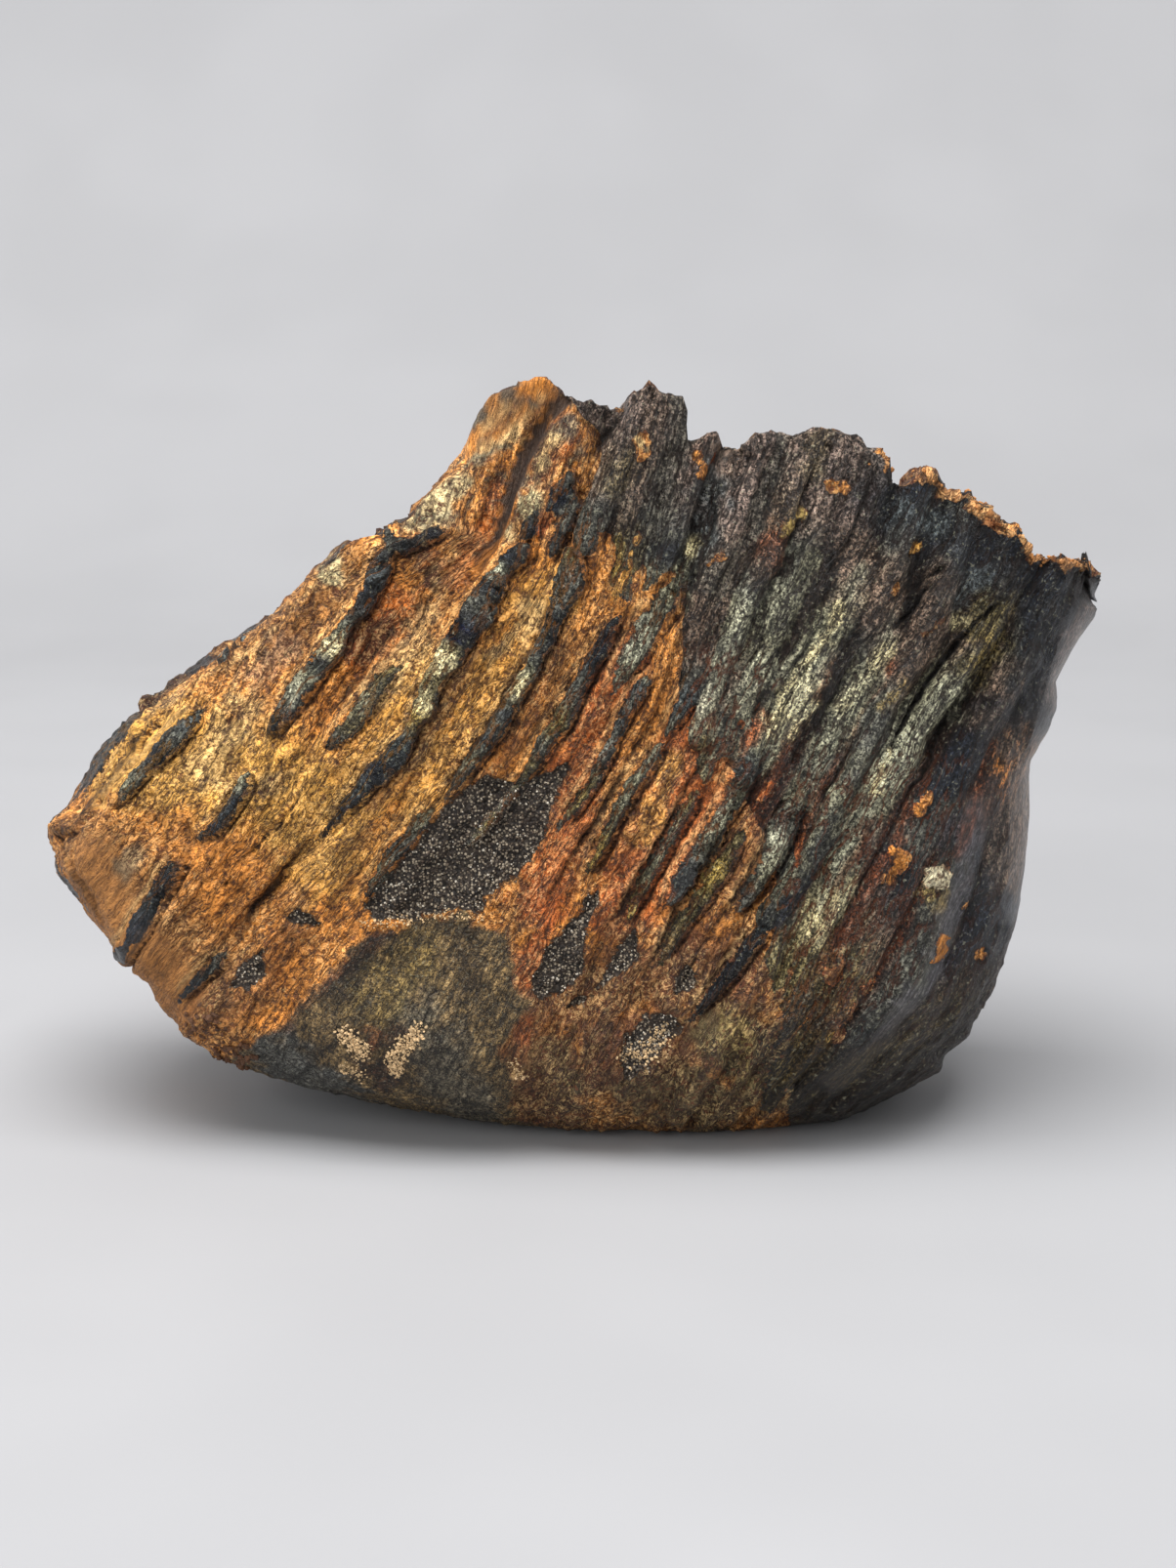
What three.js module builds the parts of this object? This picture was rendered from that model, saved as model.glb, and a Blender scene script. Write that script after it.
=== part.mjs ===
// Fossil mammoth molar, the crown of one cheek tooth: enamel plates stand side by
// side like books on a shelf, bonded by dentine and cement. They lean from the upper
// right to the lower left and run right through the tooth, from the cheek side to the
// tongue side. The top is a broken face, the foot and the heel are worn round.
// Millimetres, +X along the tooth, -Y the cheek side, +Z up.

import * as THREE from 'three';
import { mergeVertices } from 'three/addons/utils/BufferGeometryUtils.js';

// Driving sizes
const HEIGHT = 158.5;
const FOOT_LENGTH = 224;
const CREST_LENGTH = 206;
const CHEEK_DEPTH = 44;
const TONGUE_DEPTH = 41;
const END_THINNING = 10; // how much less deep each side is at the thin left end
const LENGTH_BEND = 0.0006; // the tooth bends gently along its length
const CREST_LEAN = 7; // the sides lean in towards the broken crest
const CREST_FALL = 15; // the broken face drops towards the tongue side
const HEEL_CREST_FALL = 10; // and drops less over the heel half
const MOST_FALL = 0.22; // never more than this part of a short plate
const REST_CUT = 4.8; // the worn flat that the tooth rests on
const BREAK_ROUGHNESS = 2.4;
const BREAK_GRAIN = 16;
const BREAK_FULL_WIDTH = 40; // a broken face this wide is as rough as it gets
const SKIN_ROUGHNESS = 0.8;
const SKIN_GRAIN = 9;

// How finely the solid is cut: rows down one side, steps across the broken face, and
// steps between one plate line and the next.
const SIDE_ROWS = 23;
const FOOT_CROWDING = 1.35; // above 1, the rows lie closer towards the rounded foot
const BREAK_STEPS = 6;
const LINE_STEPS = [2, 6, 9, 6, 7, 6, 5, 5, 5, 5, 5, 5, 5, 6, 5, 5, 4];

// Outlines in percent of the tooth's length and height, from the left end to the heel.
// The broken crest is ragged, one step for each broken plate.
const CREST = [
  [7, 55], [8.2, 55.9], [9.4, 56.6], [9.7, 58.8], [11.7, 59.6], [14.7, 63],
  [17, 65.7], [19.4, 67.5], [21.7, 69.7], [23.1, 71.6], [24.5, 74.1], [27, 77],
  [28.3, 78.3], [31.2, 80], [32.8, 80.6], [34.4, 83.1], [36.2, 85.3], [38.4, 88.3],
  [39.3, 90.5], [40.1, 93.5], [40.9, 96], [42.1, 97.7], [44.4, 99.4], [46, 100],
  [47.6, 99.6], [49, 98.2], [50.1, 97.3], [52.1, 97], [53.2, 96.3], [54.4, 96.1],
  [55.3, 97.8], [57, 99.1], [57.8, 98.1], [59.3, 97.4], [60.6, 96.6], [60.9, 92.9],
  [63.5, 92.6], [64.1, 91.5], [65.8, 91.5], [67.8, 92.4], [71.6, 93.2], [72.4, 93.7],
  [74.6, 93], [77.1, 91.7], [79.5, 88.8], [79.8, 87.2], [80.9, 87.1], [83.2, 88.1],
  [84.7, 86.6], [85, 84.9], [87.5, 85.7], [87.9, 84.1], [89.4, 82.7], [91.6, 80.4],
  [93.2, 77.7], [94.8, 76.6], [96, 77], [96.4, 75.5], [97.6, 76.1], [99.2, 74.5],
  [99.9, 72],
];

// The rounded edges carry a third value, the radius in mm that they are rounded to.
const LEFT_END = [[7, 55, 8], [0.1, 40.4, 10]];
const FOOT = [
  [0.1, 40.4, 10], [1.1, 34.3, 11], [2.8, 31.4, 11], [4.9, 27.8, 11], [7.7, 22.8, 12],
  [10.3, 18.6, 13], [13.5, 14, 15], [16, 10.6, 18], [23.8, 6.8, 25], [32.8, 4, 31],
  [42.3, 1.8, 34], [49.1, 0.6, 35], [63.8, 0, 36], [68.7, 0.3, 36], [74.7, 1.8, 36],
  [80.2, 4.5, 36], [85, 8.4, 36],
];
const HEEL = [
  [99.9, 72, 22], [98.3, 66.3, 24], [96.5, 61.8, 25], [95.5, 57, 26], [94.2, 52.1, 27],
  [93.2, 48.5, 29], [93, 43, 32], [92.6, 37.3, 34], [92, 29.8, 35], [91.4, 24.5, 36],
  [89.5, 17.4, 36], [88.1, 13.4, 36], [85, 8.4, 36],
];

// Plate lines, from the left end to the heel: where each meets the crest, in percent
// of the length; where it meets the foot, in percent of the way along it; how far its
// middle bows towards the heel; and the enamel ridge on it, from and to which part of
// its run and how high.
const PLATE_LINES = [
  { crest: 7, foot: 0, bow: 0, from: 0, to: 1, rise: 0 },
  { crest: 10.6, foot: 2, bow: 0, from: 0.1, to: 0.9, rise: 0.6 },
  { crest: 21.7, foot: 5, bow: 0, from: 0.35, to: 0.82, rise: 1.4 },
  { crest: 34.2, foot: 15, bow: 3, from: 0.06, to: 1, rise: 2.4 },
  { crest: 42.2, foot: 19, bow: 7, from: 0.38, to: 0.6, rise: 1 },
  { crest: 50.8, foot: 23, bow: 6, from: 0.24, to: 1, rise: 2.6 },
  { crest: 56.6, foot: 29, bow: 10, from: 0.12, to: 0.8, rise: 2.2 },
  { crest: 62.1, foot: 37, bow: 5, from: 0.05, to: 0.68, rise: 2 },
  { crest: 67, foot: 46, bow: 2, from: 0, to: 0.62, rise: 2.1 },
  { crest: 72.4, foot: 54, bow: 0, from: 0, to: 0.75, rise: 2.1 },
  { crest: 76.8, foot: 59, bow: 0, from: 0, to: 0.95, rise: 1.9 },
  { crest: 82.1, foot: 64, bow: -1.5, from: 0, to: 1, rise: 2.3 },
  { crest: 86.5, foot: 69, bow: 0, from: 0, to: 1, rise: 2.2 },
  { crest: 91.6, foot: 73, bow: 0.5, from: 0.28, to: 1, rise: 2.5 },
  { crest: 95.7, foot: 77, bow: 2.5, from: 0, to: 1, rise: 1.8 },
  { crest: 97.9, foot: 82, bow: 4.5, from: 0, to: 1, rise: 0.8 },
  { crest: 99, foot: 91, bow: 2, from: 0, to: 1, rise: 0 },
  { crest: 99.9, foot: 100, bow: 0, from: 0, to: 1, rise: 0 },
];
const RIDGE_WIDTH = 3;
const LAST_LINE = PLATE_LINES.length - 1;
const HEEL_BLEND_START = 14; // past this line the plates turn to follow the heel

// Cracks and grooves that follow the plates on the cheek side: plate line at either
// end, the part of the run they take, their depth and half width.
const CRACKS = [
  { line: [13.3, 12.9], run: [0.12, 0.38], depth: 4.5, width: 1.4 },
  { line: [12.6, 12.4], run: [0.12, 0.26], depth: 2.5, width: 1.2 },
  { line: [4.76, 4.45], run: [0, 0.32], depth: 3.2, width: 2.6 },
  { line: [5.5, 5.45], run: [0, 0.14], depth: 2.2, width: 1.6 },
  { line: [7.5, 7.4], run: [0, 0.2], depth: 2.2, width: 1.8 },
  { line: [8.3, 8.3], run: [0, 0.16], depth: 1.8, width: 1.5 },
  { line: [4.55, 4.6], run: [0.6, 0.95], depth: 2, width: 2 },
];

// Hollows and lumps: centre in percent of length and height, half length along the
// plates, half width across them, and depth, below zero for a lump.
const CHEEK_HOLLOWS = [
  { at: [39.7, 37.5], long: 19, wide: 10, depth: 2.8 },
  { at: [49.4, 25.3], long: 13, wide: 5, depth: 2.6 },
  { at: [54.5, 24], long: 8, wide: 4, depth: 1.6 },
  { at: [57, 11.7], long: 10, wide: 4, depth: 1.4 },
  { at: [32.3, 71], long: 14, wide: 7, depth: 2.8 },
  { at: [24, 27.9], long: 3, wide: 5, depth: 1.6 },
  { at: [42.5, 96], long: 14, wide: 11, depth: 5 },
  { at: [35, 16], long: 17, wide: 24, depth: -1.8 },
];
const TONGUE_HOLLOWS = [
  { at: [62, 52], long: 20, wide: 7, depth: 3 },
  { at: [34, 40], long: 11, wide: 9, depth: 2.4 },
  { at: [75, 33], long: 9, wide: 5, depth: 2 },
  { at: [50, 74], long: 12, wide: 8, depth: 3 },
  { at: [56, 14], long: 22, wide: 14, depth: -2 },
  { at: [16, 42], long: 9, wide: 6, depth: 1.8 },
];

const mix = THREE.MathUtils.lerp;
const clamp = THREE.MathUtils.clamp;
const step = THREE.MathUtils.smoothstep;

// A percent pair placed at its real size: the crown narrows towards its crest.
function place([across, up]) {
  const length = mix(FOOT_LENGTH, CREST_LENGTH, up / 100);
  return new THREE.Vector2(((across - 50) / 100) * length, (up / 100) * HEIGHT);
}

function crestHeight(across) {
  const found = CREST.findIndex((point) => point[0] > across);
  const next = found < 0 ? CREST.length - 1 : found;
  const [left, right] = [CREST[next - 1], CREST[next]];
  return mix(left[1], right[1], clamp((across - left[0]) / (right[0] - left[0]), 0, 1));
}

// A path of straight runs, read by the part of its whole length.
function pathOf(outline) {
  const path = new THREE.CurvePath();
  const points = outline.map(place);
  for (let i = 1; i < points.length; i += 1) {
    path.add(new THREE.LineCurve(points[i - 1], points[i]));
  }
  return path;
}
const footPath = pathOf(FOOT);
const heelPath = pathOf(HEEL);

// The value of one field of the plate lines at any place between two of them.
function lineValue(field, line) {
  const low = Math.min(Math.floor(line), LAST_LINE - 1);
  return mix(PLATE_LINES[low][field], PLATE_LINES[low + 1][field], line - low);
}

// A point of the cheek view: on which plate line, and how far down it.
function onPlate(line, run) {
  const across = lineValue('crest', line);
  const top = place([across, crestHeight(across)]);
  const foot = footPath.getPoint(clamp(lineValue('foot', line) / 100, 0, 1));
  const towardsHeel = new THREE.Vector2(top.y - foot.y, foot.x - top.x).normalize();
  const bow = lineValue('bow', line) * 4 * run * (1 - run);
  const point = top.clone().lerp(foot, run).addScaledVector(towardsHeel, bow);
  const turn = clamp((line - HEEL_BLEND_START) / (LAST_LINE - HEEL_BLEND_START), 0, 1);
  const heelChord = heelPath.getPoint(0).lerp(heelPath.getPoint(1), run);
  return point.add(heelPath.getPoint(run).sub(heelChord).multiplyScalar(turn));
}

// Smooth noise from a hash of the grid corners round a point, from -1 to 1.
function cornerValue(x, y, z) {
  const wave = Math.sin(x * 127.1 + y * 311.7 + z * 74.7) * 43758.5453;
  return 2 * (wave - Math.floor(wave)) - 1;
}
function noise(x, y, z) {
  const [cx, cy, cz] = [Math.floor(x), Math.floor(y), Math.floor(z)];
  const [u, v, w] = [step(x - cx, 0, 1), step(y - cy, 0, 1), step(z - cz, 0, 1)];
  const row = (dy, dz) => mix(
    cornerValue(cx, cy + dy, cz + dz),
    cornerValue(cx + 1, cy + dy, cz + dz),
    u,
  );
  return mix(mix(row(0, 0), row(1, 0), v), mix(row(0, 1), row(1, 1), v), w);
}

// How full the tooth is at a point: 0 on its rounded outline, 1 well inside it.
const ON_EDGE = 1e-4;
const ROUNDED_EDGES = [LEFT_END, FOOT, HEEL].flatMap((outline) => {
  const points = outline.map(place);
  return points.slice(1).map((end, i) => ({
    start: points[i],
    end,
    radii: [outline[i][2], outline[i + 1][2]],
  }));
});
function fullness(point) {
  let nearest = 1;
  for (const { start, end, radii } of ROUNDED_EDGES) {
    const edge = end.clone().sub(start);
    const along = clamp(point.clone().sub(start).dot(edge) / edge.lengthSq(), 0, 1);
    const distance = point.distanceTo(start.clone().addScaledVector(edge, along));
    nearest = Math.min(nearest, distance / mix(radii[0], radii[1], along));
  }
  return nearest < ON_EDGE ? 0 : Math.sqrt(1 - (1 - nearest) ** 2);
}

// How far a point lies to the side of a plate line that passes it.
const SHORT_RUN = 0.02;
function offsetFrom(line, run, point) {
  const up = onPlate(line, clamp(run - SHORT_RUN, 0, 1));
  const down = onPlate(line, clamp(run + SHORT_RUN, 0, 1));
  return Math.abs(point.clone().sub(up).cross(down.sub(up).normalize()));
}

// How much of a feature is there at one part of a plate's run: it fades in and out at
// its ends, but not where it starts at the crest or ends at the foot.
const FADE = 0.05;
function presence(run, from, to) {
  const begun = from === 0 ? 1 : step(run, from - FADE, from + FADE);
  const ended = to === 1 ? 0 : step(run, to - FADE, to + FADE);
  return begun * (1 - ended);
}

// Enamel stands proud on each plate line, and fades out where its run ends.
function ridge(line, run, point) {
  let highest = 0;
  const nearby = [-1, 0, 1, 2].map((i) => clamp(Math.floor(line) + i, 0, LAST_LINE));
  for (const plate of nearby) {
    const { from, to, rise } = PLATE_LINES[plate];
    const offset = offsetFrom(plate, run, point);
    const height = rise * presence(run, from, to) * Math.exp(-((offset / RIDGE_WIDTH) ** 2));
    highest = Math.max(highest, height);
  }
  return highest;
}

function crack(run, point) {
  let deepest = 0;
  for (const { line: ends, run: [from, to], depth, width } of CRACKS) {
    const along = clamp((run - from) / (to - from), 0, 1);
    const offset = offsetFrom(mix(ends[0], ends[1], along), run, point);
    const cut = depth * presence(run, from, to) * Math.exp(-((offset / width) ** 2));
    deepest = Math.max(deepest, cut);
  }
  return deepest;
}

// A hollow is as deep as it gets inside its inner rim, and gone past its outer rim.
const PLATE_DIRECTION = new THREE.Vector2(0.54, 0.84);
const INNER_RIM = 0.35;
const OUTER_RIM = 1.25;
function hollow(list, point) {
  let total = 0;
  for (const { at, long, wide, depth } of list) {
    const away = point.clone().sub(place(at));
    const along = away.dot(PLATE_DIRECTION) / long;
    const across = away.cross(PLATE_DIRECTION) / wide;
    total += depth * (1 - step(along ** 2 + across ** 2, INNER_RIM, OUTER_RIM));
  }
  return total;
}

// One side's surface at a place on a plate: side is -1 for the cheek, 1 for the tongue.
function sidePoint(line, run, side) {
  const point = onPlate(line, run);
  const thinning = END_THINNING * step(-point.x, 10, FOOT_LENGTH / 2);
  const full = fullness(point);
  const lean = CREST_LEAN * (1 - run) ** 2;
  const skin = SKIN_ROUGHNESS * noise(point.x / SKIN_GRAIN, side * 9, point.y / SKIN_GRAIN);
  let depth = -thinning - lean + ridge(line, run, point) + skin;
  if (side < 0) {
    depth += CHEEK_DEPTH - crack(run, point) - hollow(CHEEK_HOLLOWS, point);
  } else {
    depth += TONGUE_DEPTH - hollow(TONGUE_HOLLOWS, point);
  }
  const middle = LENGTH_BEND * point.x ** 2;
  return new THREE.Vector3(point.x, middle + side * full * depth, point.y);
}

// The tongue side starts lower, because the broken face falls towards it.
function tongueRun(line, run) {
  const height = onPlate(line, 0).distanceTo(onPlate(line, 1));
  const drop = mix(CREST_FALL, HEEL_CREST_FALL, step(line, LAST_LINE / 2, LAST_LINE - 5));
  const awayFromEnds = step(line, 0, 2) * (1 - step(line, LAST_LINE - 2, LAST_LINE));
  return mix(awayFromEnds * Math.min(MOST_FALL, drop / height), 1, run);
}

function rowRun(row) {
  return 1 - (1 - row / SIDE_ROWS) ** FOOT_CROWDING;
}

// The broken face between the two sides, rough and a little sunk.
function breakPoints(tongueEdge, cheekEdge, line) {
  const width = tongueEdge.distanceTo(cheekEdge);
  const rough = BREAK_ROUGHNESS * Math.min(1, width / BREAK_FULL_WIDTH);
  const points = [];
  for (let i = 1; i < BREAK_STEPS; i += 1) {
    const point = tongueEdge.clone().lerp(cheekEdge, i / BREAK_STEPS);
    point.z += rough * (noise(2 * line, point.y / BREAK_GRAIN, 3) - 0.4);
    points.push(point);
  }
  return points;
}

// One closed ring round the tooth along a plate line: down the cheek side, under the
// foot, up the tongue side and back over the broken face.
function ringAt(line) {
  const ring = [];
  for (let row = 0; row <= SIDE_ROWS; row += 1) {
    ring.push(sidePoint(line, rowRun(row), -1));
  }
  for (let row = SIDE_ROWS - 1; row >= 0; row -= 1) {
    ring.push(sidePoint(line, tongueRun(line, rowRun(row)), 1));
  }
  return ring.concat(breakPoints(ring[ring.length - 1], ring[0], line));
}

// Every ring, from the left end to the heel.
function plateRings() {
  const lines = [];
  LINE_STEPS.forEach((steps, line) => {
    for (let i = 0; i < steps; i += 1) lines.push(line + i / steps);
  });
  lines.push(LAST_LINE);
  return lines.map(ringAt);
}

// The two triangles of a cell between two rings, split along its shorter diagonal. In
// the strips next to the pinched ends all cells are split alike, so that they weld.
function cellTriangles(points, a, b, nextA, nextB, atEnd) {
  const rising = points[a].distanceTo(points[nextB]);
  const falling = points[b].distanceTo(points[nextA]);
  const splitFalling = atEnd || falling <= rising;
  return splitFalling ? [a, b, nextA, b, nextB, nextA] : [a, b, nextB, a, nextB, nextA];
}

// Skins the rings, cuts the worn flat under the foot, and welds the pinched ends.
const WELD = 0.01;
function molarGeometry() {
  const rings = plateRings();
  const around = rings[0].length;
  const points = rings.flat();
  const triangles = [];
  for (let ring = 0; ring < rings.length - 1; ring += 1) {
    const atEnd = ring === 0 || ring === rings.length - 2;
    for (let i = 0; i < around; i += 1) {
      const a = ring * around + i;
      const b = ring * around + ((i + 1) % around);
      triangles.push(...cellTriangles(points, a, b, a + around, b + around, atEnd));
    }
  }
  for (const point of points) point.z = Math.max(point.z, REST_CUT);
  const skin = new THREE.BufferGeometry().setFromPoints(points);
  skin.setIndex(triangles);
  const welded = mergeVertices(skin, WELD);
  const index = Array.from(welded.index.array);
  const kept = [];
  for (let i = 0; i < index.length; i += 3) {
    const [a, b, c] = index.slice(i, i + 3);
    if (a !== b && b !== c && c !== a) kept.push(a, b, c);
  }
  welded.setIndex(kept);
  return welded;
}

const geometry = molarGeometry();
geometry.computeBoundingBox();
const { min, max } = geometry.boundingBox;
geometry.translate(-(min.x + max.x) / 2, -(min.y + max.y) / 2, -min.z);
geometry.computeVertexNormals();

const fossil = new THREE.MeshStandardMaterial({
  color: 0x7a6244,
  roughness: 0.6,
  metalness: 0,
});

const molar = new THREE.Mesh(geometry, fossil);
molar.name = 'molar';

const group = new THREE.Group();
group.add(molar);

export default group;
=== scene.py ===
import math

import bmesh
import bpy
import numpy as np
from mathutils import Matrix, Vector


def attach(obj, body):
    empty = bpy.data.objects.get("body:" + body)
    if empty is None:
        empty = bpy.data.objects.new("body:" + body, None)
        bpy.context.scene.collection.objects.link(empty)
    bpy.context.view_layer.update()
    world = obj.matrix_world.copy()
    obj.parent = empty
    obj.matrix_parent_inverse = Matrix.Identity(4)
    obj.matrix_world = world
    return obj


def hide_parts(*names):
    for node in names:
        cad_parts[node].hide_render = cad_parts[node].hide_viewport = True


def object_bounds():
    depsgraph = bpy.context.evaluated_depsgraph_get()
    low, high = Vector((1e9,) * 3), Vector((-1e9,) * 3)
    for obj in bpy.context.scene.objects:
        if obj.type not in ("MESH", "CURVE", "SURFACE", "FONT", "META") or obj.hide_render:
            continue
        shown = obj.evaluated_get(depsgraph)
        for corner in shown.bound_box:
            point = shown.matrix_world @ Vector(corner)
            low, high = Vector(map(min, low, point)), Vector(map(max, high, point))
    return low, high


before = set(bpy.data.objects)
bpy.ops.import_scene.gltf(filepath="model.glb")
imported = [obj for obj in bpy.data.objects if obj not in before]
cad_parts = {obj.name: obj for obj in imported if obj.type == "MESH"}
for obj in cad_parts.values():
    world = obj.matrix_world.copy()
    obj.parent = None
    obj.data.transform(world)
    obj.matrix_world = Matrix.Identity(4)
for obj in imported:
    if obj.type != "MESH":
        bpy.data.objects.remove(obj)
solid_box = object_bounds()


# Camera. It stands in front of the cheek side and looks a little down on it. Places on
# the tooth are named below by where they lie in this view, in millimetres to the right
# of its middle and above it.
MM = 0.001
METRE = 1000
VIEW_MIDDLE = np.array((3.54, 0.0, 67.65))
LOOK_DOWN = math.radians(13)
LENS = 70.0
SENSOR = 36.0
SHOWN_FROM = 0.05
SHOWN_TO = 10.0
VIEW_HEIGHT = 321.2
VIEW_DISTANCE = VIEW_HEIGHT * LENS / SENSOR
LOOKING = np.array((0.0, math.cos(LOOK_DOWN), -math.sin(LOOK_DOWN)))
UPWARDS = np.array((0.0, math.sin(LOOK_DOWN), math.cos(LOOK_DOWN)))
EYE = VIEW_MIDDLE - LOOKING * VIEW_DISTANCE


def placed(name, data):
    """Puts a new object with this data in the scene."""
    piece = bpy.data.objects.new(name, data)
    bpy.context.scene.collection.objects.link(piece)
    return piece


camera_data = bpy.data.cameras.new("camera")
camera_data.lens = LENS
camera_data.sensor_width = SENSOR
camera_data.clip_start = SHOWN_FROM
camera_data.clip_end = SHOWN_TO
camera = placed("camera", camera_data)
camera.location = Vector(EYE * MM)
camera.rotation_euler = (math.pi / 2 - LOOK_DOWN, 0.0, 0.0)
bpy.context.scene.camera = camera


# The tooth. One mineralised block: hard enamel plates stand on edge in soft dentine and
# cement, broken off along the top and worn round at the heel. Its skin is a copy of the
# solid's, remeshed evenly, with ribs, pits, fibres and cracks worked into it.
SKIN_SPACING = 1.2
SKIN_SMOOTHING = 3
MOST_TRIANGLES = 196000
CHEEK_NORMAL = -0.12
FINE_NORMAL = -0.1
CHEEK_BACK = 0.006
CREST_DRAWN = (-4, 6)
ENDS_DRAWN = (-5, 5)
STRIP = 1.5
ROUNDED_BACK = 12
EDGE_SPAN = 4
GROOVE_BED = 0.9
PLATE_PITCH = 9.5


def pigment(red, green, blue):
    """A colour as painters mix it, 0 to 255, in the renderer's linear light."""
    mixed = []
    for part in (red, green, blue):
        share = part / 255
        mixed.append(share / 12.92 if share <= 0.04045 else ((share + 0.055) / 1.055) ** 2.4)
    return np.array(mixed)


GOLD = pigment(232, 170, 78)
STRAW = pigment(242, 206, 142)
OCHRE = pigment(212, 134, 54)
DULL_TAN = pigment(172, 118, 64)
RED_ORANGE = pigment(176, 88, 34)
RUST = pigment(104, 56, 30)
DARK_RUST = pigment(56, 30, 18)
MIDNIGHT = pigment(38, 42, 43)
NAVY = pigment(26, 30, 38)
SLATE = pigment(84, 83, 74)
SAGE = pigment(124, 121, 98)
PALE_SAGE = pigment(172, 170, 144)
CREAM = pigment(228, 212, 160)
BRIGHT_CREAM = pigment(252, 240, 200)
OLIVE = pigment(104, 92, 58)
OLIVE_YELLOW = pigment(158, 132, 66)
BROWN_GREY = pigment(112, 93, 78)
MAUVE = pigment(126, 108, 97)
BLACK_BROWN = pigment(30, 23, 18)
GROOVE_BROWN = pigment(88, 64, 46)
FOOT_BROWN = pigment(128, 80, 42)
MOSS = pigment(116, 94, 60)
MOSS_DARK = pigment(54, 42, 28)
BLUE_GREY = pigment(78, 84, 84)
LILAC_GREY = pigment(74, 71, 75)
SAND_DARK = pigment(34, 28, 23)
CRUST_ORANGE = pigment(204, 142, 84)
SAND_PALE = pigment(196, 180, 156)

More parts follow.
